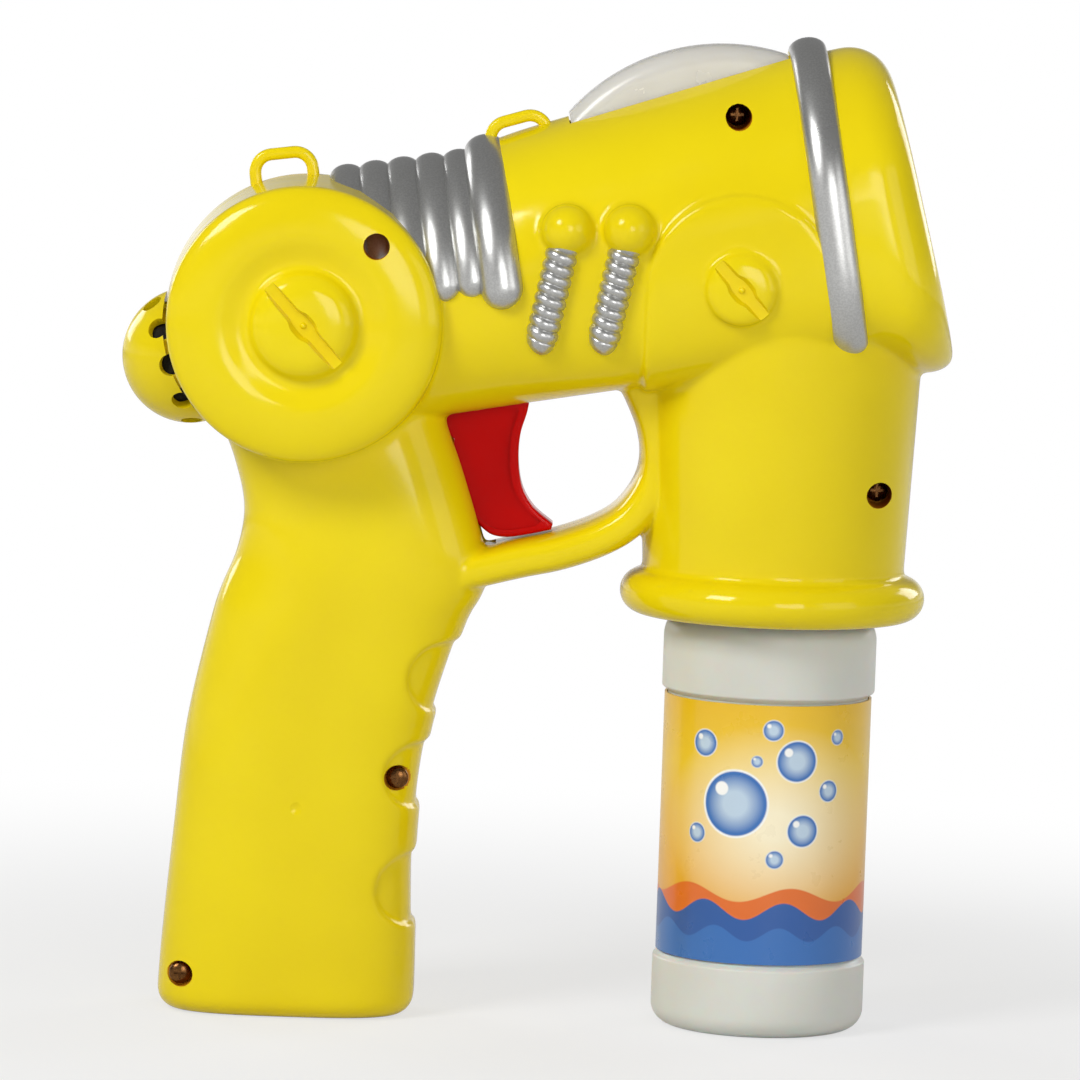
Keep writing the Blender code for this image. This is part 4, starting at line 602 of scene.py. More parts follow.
def barrel_side(x, z):
    """How far to the side the barrel's surface is at a point of the side view."""
    offset = Vector((x, 0.0, z)) - DRUM_CENTRE
    station, height = offset.dot(FORWARD), offset.dot(CROWN)
    turn = math.asin(height / barrel_radius(station))
    for _ in range(12):
        reach = barrel_reach(station, barrel_radius(station), math.sin(turn), math.cos(turn))
        turn = math.asin(height / reach)
    return reach * math.cos(turn)


def barrel_rings(stations, shaped=True):
    """Bridges rings of (station, radius, flare). The flare draws the bottom out to a beak."""
    facing = Matrix((CROWN, SIDEWAYS, -FORWARD)).transposed().to_4x4()
    frames = [Matrix.Translation(barrel_point(station)) @ facing
              @ Matrix.Diagonal((radius, radius, 1.0, 1.0)) for station, radius, _ in stations]
    shape = bridged(frames, TURNED_STEPS)
    for vert in shape.verts:
        offset = vert.co - DRUM_CENTRE
        station, height = offset.dot(FORWARD), offset.dot(CROWN)
        reach = math.hypot(height, offset.y)
        near = min(stations, key=lambda ring: abs(ring[0] - station))
        if shaped and reach > 1e-6:
            up, across = height / reach, offset.y / reach
            wanted = barrel_reach(station, reach, up, across) + near[2] * max(0.0, -up) ** 4
            vert.co += (CROWN * up + SIDEWAYS * across) * (wanted - reach)
    return shape


def barrel_form(inset):
    """The barrel from the drum's middle to the muzzle. An inset one goes on through the mouth."""
    end = BARREL_LENGTH + MUZZLE_LENGTH
    start = end - MUZZLE_ROUND
    ways = [BARREL_LENGTH * i / BARREL_STEPS for i in range(BARREL_STEPS + 1)]
    stations = [(way, barrel_radius(way) - inset, 0.0) for way in ways]
    widest = barrel_radius(BARREL_LENGTH) - inset
    flare = 0.0 if inset else LIP_FLARE
    for i in range(1, BEAK_STEPS):
        share = i / BEAK_STEPS
        way = BARREL_LENGTH + (start - BARREL_LENGTH) * share
        stations.append((way, widest, BEAK_START * flare * share))
    for i, turn in enumerate(quarter_turns(MUZZLE_STEPS)):
        beak = BEAK_START + (1.0 - BEAK_START) * i / MUZZLE_STEPS
        stations.append((start + (MUZZLE_ROUND - inset) * math.sin(turn),
                         widest - MUZZLE_ROUND * (1.0 - math.cos(turn)), flare * beak))
    if inset:
        stations += [(end - inset + 1e-5, MOUTH_RADIUS, 0.0), (end + MUZZLE_ROUND, MOUTH_RADIUS, 0.0)]
    return barrel_rings(stations, shaped=not inset)


# %% Tank holder
TANK_X = 0.0525
TANK_CENTRE = Vector((TANK_X, 0.0, 0.0))
TANK_RADIUS = 0.023
HOLDER_MARGIN, HOLDER_TAPER, HOLDER_TOP = 0.0052, 0.043, 0.165
FLANGE_Z, FLANGE_RADIUS = 0.094, 0.00475


def holder_form(inset):
    """The upright cup for the tank, with a fat round flange at its foot."""
    low = TANK_RADIUS + HOLDER_MARGIN - inset
    top = HOLDER_TOP - inset
    if inset:
        below = FLANGE_Z - 2 * FLANGE_RADIUS
        profile = [(0.0, below), (low, below), (low, FLANGE_Z)]
    else:
        profile = [(0.0, FLANGE_Z - FLANGE_RADIUS),
                   *arc((low, FLANGE_Z), FLANGE_RADIUS, -math.pi / 2, math.pi / 2, 24)]
    profile += [(low + HOLDER_TAPER * (top - FLANGE_Z), top), (0.0, top)]
    return spun(profile, TANK_CENTRE, UPWARD, TURNED_STEPS)


# %% Grip with finger grooves
GRIP_OUTLINE = ((0.000, -0.0778, -0.0220), (0.016, -0.0770, -0.0220), (0.040, -0.0751, -0.0223),
                (0.0625, -0.0730, -0.0199), (0.085, -0.0684, -0.0135), (0.0925, -0.0662, -0.0098),
                (0.100, -0.0633, -0.0092), (0.1095, -0.0620, -0.0118), (0.120, -0.0645, -0.0153),
                (0.132, -0.0690, -0.0194), (0.145, -0.0690, -0.0194))
GRIP_HALF_WIDTH = 0.0175
GRIP_SQUARENESS = 3.0
GRIP_EDGE = 0.0045
GRIP_LEVEL, GRIP_LEVELS, GRIP_SIDES = 0.002, 68, 112
GROOVES = ((0.0203, 0.0362), (0.0458, 0.0603), (0.0662, 0.0822))
GROOVE_DEPTH, GROOVE_REACH = 0.0011, 0.0085
grip_edges = smooth_path(GRIP_OUTLINE, 8)


def grip_ends(z):
    """The back and the front of the grip at a height."""
    for low, high in zip(grip_edges, grip_edges[1:]):
        if z <= high.x:
            break
    return low.lerp(high, (z - low.x) / (high.x - low.x))[1:]


def grip_form(inset):
    """A squarish oval at each height, with the edge rounded where the grip stands."""
    levels = [(inset + GRIP_EDGE * (1.0 - math.cos(turn)), inset + GRIP_EDGE * (1.0 - math.sin(turn)))
              for turn in quarter_turns(10)]
    levels += [(GRIP_EDGE + inset + GRIP_LEVEL * i, inset) for i in range(1, GRIP_LEVELS)]
    frames = []
    for z, margin in levels:
        back, front = grip_ends(z)
        size = Matrix.Diagonal(((front - back) / 2 - margin, GRIP_HALF_WIDTH - margin, 1.0, 1.0))
        frames.append(Matrix.Translation(((back + front) / 2, 0.0, z)) @ size)
    return bridged(frames, GRIP_SIDES, GRIP_SQUARENESS)


def groove_cutter(low, high):
    """Lowers the front of the grip between two heights, with a round end on its sides."""
    middle, half = (low + high) / 2, (high - low) / 2
    front = grip_ends(middle)[1]
    turns = [math.pi * i / 24 for i in range(25)]
    outline = [(front - GROOVE_REACH * math.sin(t), middle + half * math.cos(t)) for t in turns]
    outline += [(front + half, low), (front + half, high)]
    cutter = piece("groove", plate(outline, -2 * GRIP_HALF_WIDTH, 2 * GRIP_HALF_WIDTH))
    return carved(cutter, grip_form(GROOVE_DEPTH))


print("forms of the housing ready")

# %% [markdown]
# ## One outer body
# The forms are joined, and the ornaments that are moulded in with them are added: the arched pad over the
# tank holder, the mock screw heads, and the balls over the coiled bars. A voxel remesh then makes one even
# skin of it all, and a few smoothing passes give every inner corner the small fillet that a mould has.

# %% Guard, pad, knobs and balls
GUARD_LINE = ((-0.0150, 0.0968), (-0.0099, 0.0983), (-0.0020, 0.1004), (0.0064, 0.1024),
              (0.0152, 0.1058), (0.0212, 0.1099), (0.0256, 0.1164), (0.0270, 0.1228),
              (0.0261, 0.1295), (0.0240, 0.1350), (0.0195, 0.1440))
GUARD_HALF_THICKNESS, GUARD_HALF_WIDTH, GUARD_SQUARENESS = 0.0042, 0.0140, 3.6
PAD_X, PAD_Z, PAD_RADIUS, PAD_RISE, PAD_BOTTOM = 0.0427, 0.1614, 0.0199, 0.0013, 0.131
MOCK_RADIUS, MOCK_RIM, MOCK_TOP = 0.0076, 0.0020, 0.0354
SLOT_HALF, EYE_HALF, EYE_REACH = 0.0017, 0.0008, 0.0024
SLOT_ANGLE, SLOT_DRAFT, PIP_RADIUS = math.radians(-47), 0.35, 0.0007
KNOB_SLOT_DEPTH, MOCK_SLOT_DEPTH = 0.0028, 0.0019
BALL_RADIUS = 0.0056
BALL_PLACES = ((0.0055, 0.1726), (0.0187, 0.1731))


def pad_form():
    """The arch in the side view, kept where it is within a sleeve round the barrel."""
    outline = arc((PAD_X, PAD_Z), PAD_RADIUS, 0.0, math.pi, 48)
    outline += [(PAD_X - PAD_RADIUS, PAD_BOTTOM), (PAD_X + PAD_RADIUS, PAD_BOTTOM)]
    pad = piece("pad", plate(outline, -2 * PAD_RADIUS, 2 * PAD_RADIUS))
    ways = [(BARREL_LENGTH + PAD_RADIUS) * i / BARREL_STEPS for i in range(BARREL_STEPS + 1)]
    sleeve = barrel_rings([(way, barrel_radius(way) + PAD_RISE, 0.0) for way in ways])
    return carved(pad, sleeve, "INTERSECT")


def slot_cutter(x, z, radius, top, depth, side):
    """A slot right across a knob, with a round widening and a pip in its middle."""
    ways = [radius * (i / 24 - 1.0) for i in range(49)]
    edge = [(way, SLOT_HALF + EYE_HALF * math.exp(-(way / EYE_REACH) ** 4)) for way in ways]
    outline = edge + [(way, -half) for way, half in reversed(edge)]
    shape = plate(outline, top - depth, top + depth)
    for vert in shape.verts:
        vert.co.z *= 1.0 + SLOT_DRAFT * (vert.co.y - top) / depth
    cutter = piece("slot", shape)
    carved(cutter, ball(PIP_RADIUS, (0.0, top - depth, 0.0), 24))
    cutter.data.transform(Matrix.Translation((x, 0.0, z)) @ Matrix.Rotation(-SLOT_ANGLE, 4, "Y"))
    if side < 0:
        cutter.data.transform(Matrix.Scale(-1.0, 4, SIDEWAYS))
        cutter.data.flip_normals()
    return cutter


grip = piece("grip", grip_form(0.0))
for low, high in GROOVES:
    carved(grip, groove_cutter(low, high))
body = piece("housing_body", drum_form(0.0))
guard_path = smooth_path([(x, 0.0, z) for x, z in GUARD_LINE])
guard_frames = path_frames(guard_path, GUARD_HALF_WIDTH, GUARD_HALF_THICKNESS)
guard = bridged(guard_frames, 48, GUARD_SQUARENESS)
for form in (barrel_form(0.0), holder_form(0.0), grip, guard, pad_form()):
    carved(body, form, "UNION")
for side in (-1, 1):
    foot = barrel_side(PAD_X, PAD_Z - MOCK_RADIUS)
    head = [(0.0, foot), (MOCK_RADIUS, foot), *knob_profile(MOCK_RADIUS, MOCK_RIM, MOCK_TOP - MOCK_RIM)]
    carved(body, spun(head, Vector((PAD_X, 0.0, PAD_Z)), SIDEWAYS * side), "UNION")
    for x, z in BALL_PLACES:
        carved(body, ball(BALL_RADIUS, (x, side * barrel_side(x, z), z), 48), "UNION")
print("joined outer body:", len(body.data.polygons), "faces")

# %% An even skin with soft corners
SKIN_VOXEL = 0.00052
SKIN_PASSES = 9

skin = body.modifiers.new("skin", "REMESH")
skin.mode = "VOXEL"
skin.voxel_size = SKIN_VOXEL
baked(body)
softened = bmesh.new()
softened.from_mesh(body.data)
for _ in range(SKIN_PASSES):
    bmesh.ops.smooth_vert(softened, verts=softened.verts, factor=0.5,
                          use_axis_x=True, use_axis_y=True, use_axis_z=True)
softened.to_mesh(body.data)
softened.free()
print("skin:", len(body.data.polygons), "faces")

# %% [markdown]
# ## Hollow, openings and halves
# Screw posts, the trigger's pivot bosses, a rib behind the trigger and a shelf over the cells are left
# standing in the hollow. The vent, the light slot and the trigger slots go through the wall. Then the body
# is split on its middle plane with a hairline gap, which a lip inside the left half covers, and the halves
# get their screw holes.

# %% Hollow
SCREW_POINTS = ((-0.0346, 0.1679, 0.0050), (0.0410, 0.1974, 0.0050), (0.0740, 0.1178, 0.0050),
                (-0.0269, 0.0527, 0.0108), (-0.0723, 0.0087, 0.0108))
POST_RADIUS = 0.0037
PIVOT_X, PIVOT_Z = -0.0040, 0.1393
BOSS_RADIUS, BOSS_LENGTH = 0.0032, 0.015
TRIGGER_HALF_WIDTH = 0.0046
CLEARANCE = 0.0003
STOP_X, STOP_Z = (-0.0358, -0.0340), (0.1060, 0.1258)
DOOR_X, DOOR_Z = (-0.0660, -0.0350), (0.0075, 0.0640)
DOOR_SCREW = (-0.0505, 0.0608)
SHELF_Z, SHELF_MARGIN = (0.0566, 0.0588), 0.002
FAR = 0.2

hollow = piece("hollow", drum_form(WALL))
for form in (barrel_form(WALL), holder_form(WALL), grip_form(WALL)):
    carved(hollow, form, "UNION")
for x, z, _ in SCREW_POINTS:
    carved(hollow, rod(POST_RADIUS, (x, -FAR, z), (x, FAR, z)))
for side in (-1, 1):
    inner = side * (TRIGGER_HALF_WIDTH + 3 * CLEARANCE)
    outer = inner + side * BOSS_LENGTH
    carved(hollow, rod(BOSS_RADIUS, (PIVOT_X, inner, PIVOT_Z), (PIVOT_X, outer, PIVOT_Z)))
carved(hollow, slab((STOP_X[0], -FAR, STOP_Z[0]), (STOP_X[1], FAR, STOP_Z[1])))
shelf_y = GRIP_HALF_WIDTH - WALL - 2 * CLEARANCE
carved(hollow, slab((-FAR, -FAR, SHELF_Z[0]), (DOOR_X[1] + SHELF_MARGIN, shelf_y, SHELF_Z[1])))
x, z = DOOR_SCREW
carved(hollow, rod(BOSS_RADIUS, (x, 0.0, z), (x, shelf_y, z)))
carved(body, hollow)
print("hollowed housing:", len(body.data.polygons), "faces")

# %% Openings
VENT_ANGLE = math.radians(200.4)
VENT_OUT = Vector((math.cos(VENT_ANGLE), 0.0, math.sin(VENT_ANGLE)))
VENT_NECK = 0.0126
VENT_CUT = (0.010, 0.050)
DOME_STATIONS = (0.064, 0.113)
DOME_HALF_WIDTH, DOME_SINK, DOME_FOOT = 0.0085, 0.0038, 0.0012
LIGHT_CUT = 0.012
TRIGGER_SLOT_X, TRIGGER_SLOT_LOW = (-0.030, -0.0075), 0.1028
HUB_ROOM, HUB_ROOM_AHEAD = 0.0136, 0.00544
PIN_BORE, PIN_REACH = 0.0017, 0.0093


def crest_outline(start, end, low, high):
    """A side view outline between two stations and two heights from the barrel's crest."""
    corners = ((start, low), (end, low), (end, high), (start, high))
    points = [barrel_point(s, barrel_radius(s) + h) for s, h in corners]
    return [(p.x, p.z) for p in points]


slot_half = TRIGGER_HALF_WIDTH + 2 * CLEARANCE
light_half = DOME_HALF_WIDTH + CLEARANCE
vent_start, vent_end = (DRUM_CENTRE + VENT_OUT * way for way in VENT_CUT)
openings = piece("openings", rod(VENT_NECK + CLEARANCE, vent_start, vent_end, 64))
light_outline = crest_outline(*DOME_STATIONS, -DOME_SINK - DOME_FOOT, LIGHT_CUT)
slot_start, slot_end = TRIGGER_SLOT_X
hub_start, hub_end = PIVOT_X - HUB_ROOM, PIVOT_X + HUB_ROOM_AHEAD
for shape in (plate(light_outline, -light_half, light_half),
              slab((slot_start, -slot_half, TRIGGER_SLOT_LOW), (slot_end, slot_half, PIVOT_Z)),
              slab((hub_start, -slot_half, PIVOT_Z - HUB_ROOM), (hub_end, slot_half, PIVOT_Z)),
              rod(PIN_BORE, (PIVOT_X, -PIN_REACH, PIVOT_Z), (PIVOT_X, PIN_REACH, PIVOT_Z))):
    carved(openings, shape, "UNION")
carved(body, openings)
print("opened housing:", len(body.data.polygons), "faces")

# %% Two halves
COUNTERBORE, SCREW_BORE, SCREW_REACH = 0.0028, 0.0015, 0.0073
LOOPS = ((-0.0553, 0.1791, 0.0124, 0.0065, math.radians(8)),
         (-0.0047, 0.1885, 0.0124, 0.0064, math.radians(17)))
LOOP_BAR, LOOP_BEND, LOOP_Y = 0.0013, 0.00377, -0.0018
LIP_REACH, LIP_END_X = 0.0012, 0.045
GATE_MARK, GATE_RADIUS, GATE_DEPTH = (-0.0483, 0.0459), 0.0030, 0.0003


def strap_loop(x, z, width, height, slope):
    """A small staple on the top, for a cord."""
    along = Vector((math.cos(slope), 0.0, math.sin(slope)))
    up = Vector((-math.sin(slope), 0.0, math.cos(slope)))
    foot, half = Vector((x, LOOP_Y, z)), width / 2
    corners = [(-half, -height),
               *arc((-half + LOOP_BEND, height - LOOP_BEND), LOOP_BEND, math.pi, math.pi / 2, 10),
               *arc((half - LOOP_BEND, height - LOOP_BEND), LOOP_BEND, math.pi / 2, 0.0, 10),
               (half, -height)]
    path = [foot + along * a + up * b for a, b in corners]
    return bridged(path_frames(path, LOOP_BAR, LOOP_BAR), 24, 3.0)


def screw_hole(start, outward, seat):
    """A bore that widens at its seat to take the head of a screw."""
    end = seat + FAR
    return spun([(0.0, 0.0), (SCREW_BORE, 0.0), (SCREW_BORE, seat), (COUNTERBORE, seat), (COUNTERBORE, end),
                 (0.0, end)], start, outward, 40)


def lip_below(y):
    """The part of the lip's form on the near side of a plane."""
    return carved(twin(lip, "lip_part"), slab((-FAR, y, -FAR), (FAR, FAR, 2 * FAR)))


lip = piece("lip", drum_form(WALL / 2))
for form in (barrel_form(WALL / 2), grip_form(WALL / 2)):
    carved(lip, form, "UNION")
carved(lip, slab((LIP_END_X, -FAR, -FAR), (FAR, FAR, 2 * FAR)))
far_side = piece("far_side", slab((-FAR, -CLEARANCE / 2, -FAR), (FAR, FAR, 2 * FAR)))
near_side = piece("near_side", slab((-FAR, -FAR, -FAR), (FAR, CLEARANCE / 2, 2 * FAR)))
right = twin(body, "right_half")
carved(right, carved(near_side, lip_below(LIP_REACH + CLEARANCE), "UNION"))
left = body
left.name = "left_half"
carved(left, carved(far_side, lip_below(LIP_REACH)))
bpy.data.objects.remove(lip)
for half, side in ((left, -1), (right, 1)):
    for knob in ((DRUM_CENTRE.x, DRUM_CENTRE.z, KNOB_RADIUS, DISH_Y + KNOB_RISE, KNOB_SLOT_DEPTH),
                 (PAD_X, PAD_Z, MOCK_RADIUS, MOCK_TOP, MOCK_SLOT_DEPTH)):
        carved(half, slot_cutter(*knob, side))
for loop in LOOPS:
    carved(left, strap_loop(*loop), "UNION")
gate_y = -GRIP_HALF_WIDTH - GATE_RADIUS + GATE_DEPTH
carved(left, ball(GATE_RADIUS, (GATE_MARK[0], gate_y, GATE_MARK[1]), 32))
for x, z, seat in SCREW_POINTS:
    carved(left, screw_hole(Vector((x, FAR, z)), -SIDEWAYS, FAR + seat))
    carved(right, rod(SCREW_BORE, (x, -FAR, z), (x, SCREW_REACH, z)))
print("halves:", len(left.data.polygons), "and", len(right.data.polygons), "faces")

# %% Battery door
DOOR_LOW_Y = 0.0139
DOOR_SEAT_Y = GRIP_HALF_WIDTH - 0.55 * WALL
DOOR_RIDGES, RIDGE_HALF, RIDGE_RADIUS = (0.0500, 0.0525, 0.0550), 0.007, 0.0006


def door_block(inset):
    """The block round the door's panel."""
    return slab((DOOR_X[0] + inset, DOOR_LOW_Y + inset, DOOR_Z[0] + inset),
                (DOOR_X[1] - inset, 2 * GRIP_HALF_WIDTH, DOOR_Z[1] - inset))


door = twin(right, "door_panel")
carved(door, door_block(CLEARANCE / 2), "INTERSECT")
carved(right, door_block(-CLEARANCE / 2))
x, z = DOOR_SCREW
carved(right, rod(SCREW_BORE, (x, SCREW_REACH, z), (x, FAR, z)))
carved(door, screw_hole(Vector((x, 0.0, z)), SIDEWAYS, DOOR_SEAT_Y))
for ridge in DOOR_RIDGES:
    start, end = (x - RIDGE_HALF, GRIP_HALF_WIDTH, ridge), (x + RIDGE_HALF, GRIP_HALF_WIDTH, ridge)
    carved(door, rod(RIDGE_RADIUS, start, end, 16))
for shell, body_name, node in ((left, "housing", "left_shell"), (right, "housing", "right_shell"),
                               (door, "door", "battery_door")):
    finished(smooth(shell), yellow, body_name, "yellow_plastic", node)
print("door panel:", len(door.data.polygons), "faces")

# %% Screw hole walls darkened with painted shade
BORE_MARGIN = 0.000028

# The hole walls get a darker orange-brown as painted shade for the depth of the holes, and a dull gloss.
bore_shade = moulded("bore_shade_wall", linear(206, 138, 20), linear(188, 120, 14), (0.55, 0.7))
bore_shade.set(Specular_IOR_Level=0.1)
left.data.materials.append(bore_shade.material)
for face in left.data.polygons:
    ways = [math.hypot(face.center.x - x, face.center.z - z) for x, z, _ in SCREW_POINTS]
    if min(ways) < COUNTERBORE + BORE_MARGIN:
        face.material_index = 1
print("bores:", len(SCREW_POINTS))

# %% [markdown]
# ## Silver ornaments
# On the toy the bellows ribs, the band at the muzzle and the coiled bars are parts of the yellow moulding
# that are sprayed silver through a mask. Here they are pieces of their own that sit in the housing's wall,
# so that the paint has a clean edge. Metal flakes give the paint its satin sparkle.

# %% Silver paint
silver = Finish("silver_paint").set(Metallic=0.88, IOR=1.5)
flakes = silver.noise(2600.0, 1.0)
clouds = silver.noise(60.0, 3.0)
silver.colour(silver.mix(silver.between(flakes, 0.0, 1.0, 0.4, 0.62),
                         linear(186, 186, 184), linear(198, 198, 196)))
silver.roughness(silver.between(clouds, 0.27, 0.34))
silver.bump(flakes, 0.00001, 0.05)
print("paint:", silver.material.name)

# %% Bellows and band
RIB_LEAN = math.radians(9.7)
RIB_COUNT, RIB_PITCH = 6, 0.00605
RIB_FIRST = DRUM_CENTRE + Vector((0.0118, 0.0, 0.0036))
RIB_RADIUS, RIB_LAST_RADIUS = 0.00275, 0.00355
RIB_OVERLAP = 0.00095
BELLOWS_RADIUS, BELLOWS_LAST_RADIUS = 0.0297, 0.0321
RIB_HALF_SWEEP, RIB_LAST_SWEEP = math.radians(84), math.radians(89)
BAND_STATION, BAND_PROUD, BAND_SINK, BAND_HALF_WIDTH = 0.1143, 0.0022, 0.00044, 0.0040
BAND_HALF_SWEEP = math.radians(139)
BAND_STEPS, END_STEPS = 144, 6
ORNAMENT_DEPTH = WALL - CLEARANCE / 2


def bent_bar(centre, radius, half_sweep, half_height, half_width, power=2.0):
    """A round bar bent over the barrel in a plane that leans to the rear, with round ends."""
    up = Vector((-math.sin(RIB_LEAN), 0.0, math.cos(RIB_LEAN)))
    path = []
    for i in range(BAND_STEPS + 1):
        turn = half_sweep * (2.0 * i / BAND_STEPS - 1.0)
        low = max(0.0, -math.cos(turn))
        square = (low ** power + abs(math.sin(turn)) ** power) ** (1.0 / power) if low else 1.0
        path.append(centre + (up * math.cos(turn) + SIDEWAYS * math.sin(turn)) * (radius / square))
    ways = [max(0.1, i) / END_STEPS for i in range(END_STEPS)]
    rounding = [math.sqrt(1.0 - (1.0 - way) ** 2) for way in ways]
    sizes = rounding + [1.0] * len(path) + rounding[::-1]
    first, last = (path[0] - path[1]).normalized(), (path[-1] - path[-2]).normalized()
    lead = [path[0] + first * half_width * (1.0 - i / END_STEPS) for i in range(END_STEPS)]
    tail = [path[-1] + last * half_width * i / END_STEPS for i in range(1, END_STEPS + 1)]
    frames = path_frames(lead + path + tail, 1.0, 1.0)
    return bridged([f @ Matrix.Diagonal((half_height * s, half_width * s, 1.0, 1.0))
                    for f, s in zip(frames, sizes)], 32)


ribs = None
for index in range(RIB_COUNT):
    last = index == RIB_COUNT - 1
    way = RIB_PITCH * index
    centre = RIB_FIRST + Vector((way * math.cos(RIB_LEAN), 0.0, way * math.sin(RIB_LEAN)))
    size = RIB_LAST_RADIUS if last else RIB_RADIUS
    reach = (BELLOWS_LAST_RADIUS if last else BELLOWS_RADIUS) - size
    sweep = RIB_LAST_SWEEP if last else RIB_HALF_SWEEP
    shape = bent_bar(centre, reach, sweep, size, size + RIB_OVERLAP)
    if ribs:
        carved(ribs, shape, "UNION")
    else:
        ribs = piece("bellows", shape)
band_reach = barrel_radius(BAND_STATION) - BAND_SINK
band = piece("muzzle_band", bent_bar(barrel_point(BAND_STATION), band_reach, BAND_HALF_SWEEP,
                                     BAND_PROUD + BAND_SINK, BAND_HALF_WIDTH, UNDERSIDE[1]))
for moulding in (ribs, band):
    carved(moulding, barrel_form(ORNAMENT_DEPTH))
    carved(moulding, slab((-FAR, -CLEARANCE / 2, -FAR), (FAR, CLEARANCE / 2, 2 * FAR)))
    finished(smooth(moulding), silver, "housing", "yellow_plastic")
print("bellows:", len(ribs.data.polygons), "faces, band:", len(band.data.polygons), "faces")

# %% Coiled bars
COIL_LENGTH, COIL_LEAN, COIL_PITCH, COIL_RADIUS = 0.0268, math.radians(11.5), 0.00236, 0.0035
COIL_TAIL, COIL_GROOVE, COIL_TILT = 0.0036, 0.20, 0.10
COIL_POWER, COIL_PLAIN, COIL_FADE, COIL_END_POWER = 0.7, 0.55, (0.7, 1.0), 2.4
COIL_STEPS = 144


def coiled_bar(top, side):
    """A bar down the barrel's side that swells and narrows like turns of cord, with a plain end."""
    x, z = top
    path, sizes = [], []
    for i in range(COIL_STEPS + 1):
        way = COIL_LENGTH * i / COIL_STEPS
        px, pz = x - way * math.sin(COIL_LEAN), z - way * math.cos(COIL_LEAN)
        path.append(Vector((px, side * barrel_side(px, pz), pz)))
        swell = abs(math.sin(math.pi * way / COIL_PITCH)) ** COIL_POWER
        left_over = (COIL_LENGTH - way) / COIL_TAIL
        wound = eased(left_over, *COIL_FADE)
        swell = wound * swell + COIL_PLAIN * (1.0 - wound)
        closing = math.sqrt(max(0.01, 1.0 - max(0.0, 1.0 - left_over) ** COIL_END_POWER))
        sizes.append(COIL_RADIUS * (1.0 - COIL_GROOVE * (1.0 - swell)) * closing)
    frames = path_frames(path, sizes, sizes)
    tilt = Matrix.Identity(4)
    tilt[2][1] = COIL_TILT * COIL_RADIUS
    return bridged([f @ tilt for f in frames], 28)


bars = 0
for side, side_name in ((-1, "near"), (1, "far")):
    for number, top in enumerate(BALL_PLACES, 1):
        bar = piece(f"coiled_bar_{side_name}_{number}", coiled_bar(top, side))
        carved(bar, barrel_form(ORNAMENT_DEPTH))
        finished(smooth(bar), silver, "housing", "yellow_plastic")
        bars += 1
print("coiled bars:", bars)

# %% [markdown]
# ## Vent cap and light window
# The cap at the back lets the blower draw air in through a ring of holes. It is a dome on a neck that
# passes through the drum's wall, with a near-black lining inside that is painted shade for the holes. The
# window on top is moulded in milky plastic, so that the lamp under it glows evenly.

# %% Vent cap
VENT_DISTANCE, VENT_RADIUS = 0.0269, 0.01464
VENT_FLANGE_RADIUS, VENT_FLANGE_OUT, VENT_FLANGE = 0.015, 0.0222, 0.0014
VENT_HOLE_RADIUS, VENT_HOLE_COUNT, VENT_HOLE_TILT = 0.0023, 10, math.radians(74)
NECK_WALL, CAP_WALL, ROOF_START = 0.6 * WALL, 0.8 * WALL, math.pi / 8

cap_centre = DRUM_CENTRE + VENT_OUT * VENT_DISTANCE
dome = arc((0.0, 0.0), VENT_RADIUS, -math.pi / 2, math.pi / 2, 40)
cap = piece("vent_dome", spun(dome, cap_centre, VENT_OUT))
seat = SIDEWAYS * DRUM_EDGE_Y
carved(cap, rod(DRUM_RADIUS + CLEARANCE, DRUM_CENTRE - seat, DRUM_CENTRE + seat, TURNED_STEPS))
neck_foot, neck_top = VENT_FLANGE_OUT - VENT_FLANGE, DRUM_RADIUS + WALL
carved(cap, spun([(0.0, neck_foot), (VENT_FLANGE_RADIUS, neck_foot), (VENT_FLANGE_RADIUS, VENT_FLANGE_OUT),
                  (VENT_NECK, VENT_FLANGE_OUT), (VENT_NECK, neck_top), (0.0, neck_top)],
                 DRUM_CENTRE, VENT_OUT), "UNION")
inner = VENT_NECK - NECK_WALL
roof = arc((0.0, VENT_DISTANCE), VENT_RADIUS - CAP_WALL, ROOF_START, math.pi / 2, 20)
carved(cap, spun([(0.0, 0.0), (inner, 0.0), (inner, VENT_DISTANCE), *roof], DRUM_CENTRE, VENT_OUT))
across = VENT_OUT.cross(SIDEWAYS)
for k in range(VENT_HOLE_COUNT):
    turn = math.tau * k / VENT_HOLE_COUNT
    ring_way = SIDEWAYS * math.cos(turn) + across * math.sin(turn)
    ray = VENT_OUT * math.cos(VENT_HOLE_TILT) + ring_way * math.sin(VENT_HOLE_TILT)
    hole_start, hole_end = cap_centre + ray * VENT_RADIUS / 2, cap_centre + ray * 2 * VENT_RADIUS
    carved(cap, rod(VENT_HOLE_RADIUS, hole_start, hole_end))
finished(smooth(cap), yellow, "housing", "yellow_plastic", "vent_cap")
print("vent cap:", len(cap.data.polygons), "faces")

# %% Dark liner as painted shade in the vent
LINER, LINER_FOOT = 0.0012, 0.004
SHADE_GRAIN = (2400.0, 4.0)

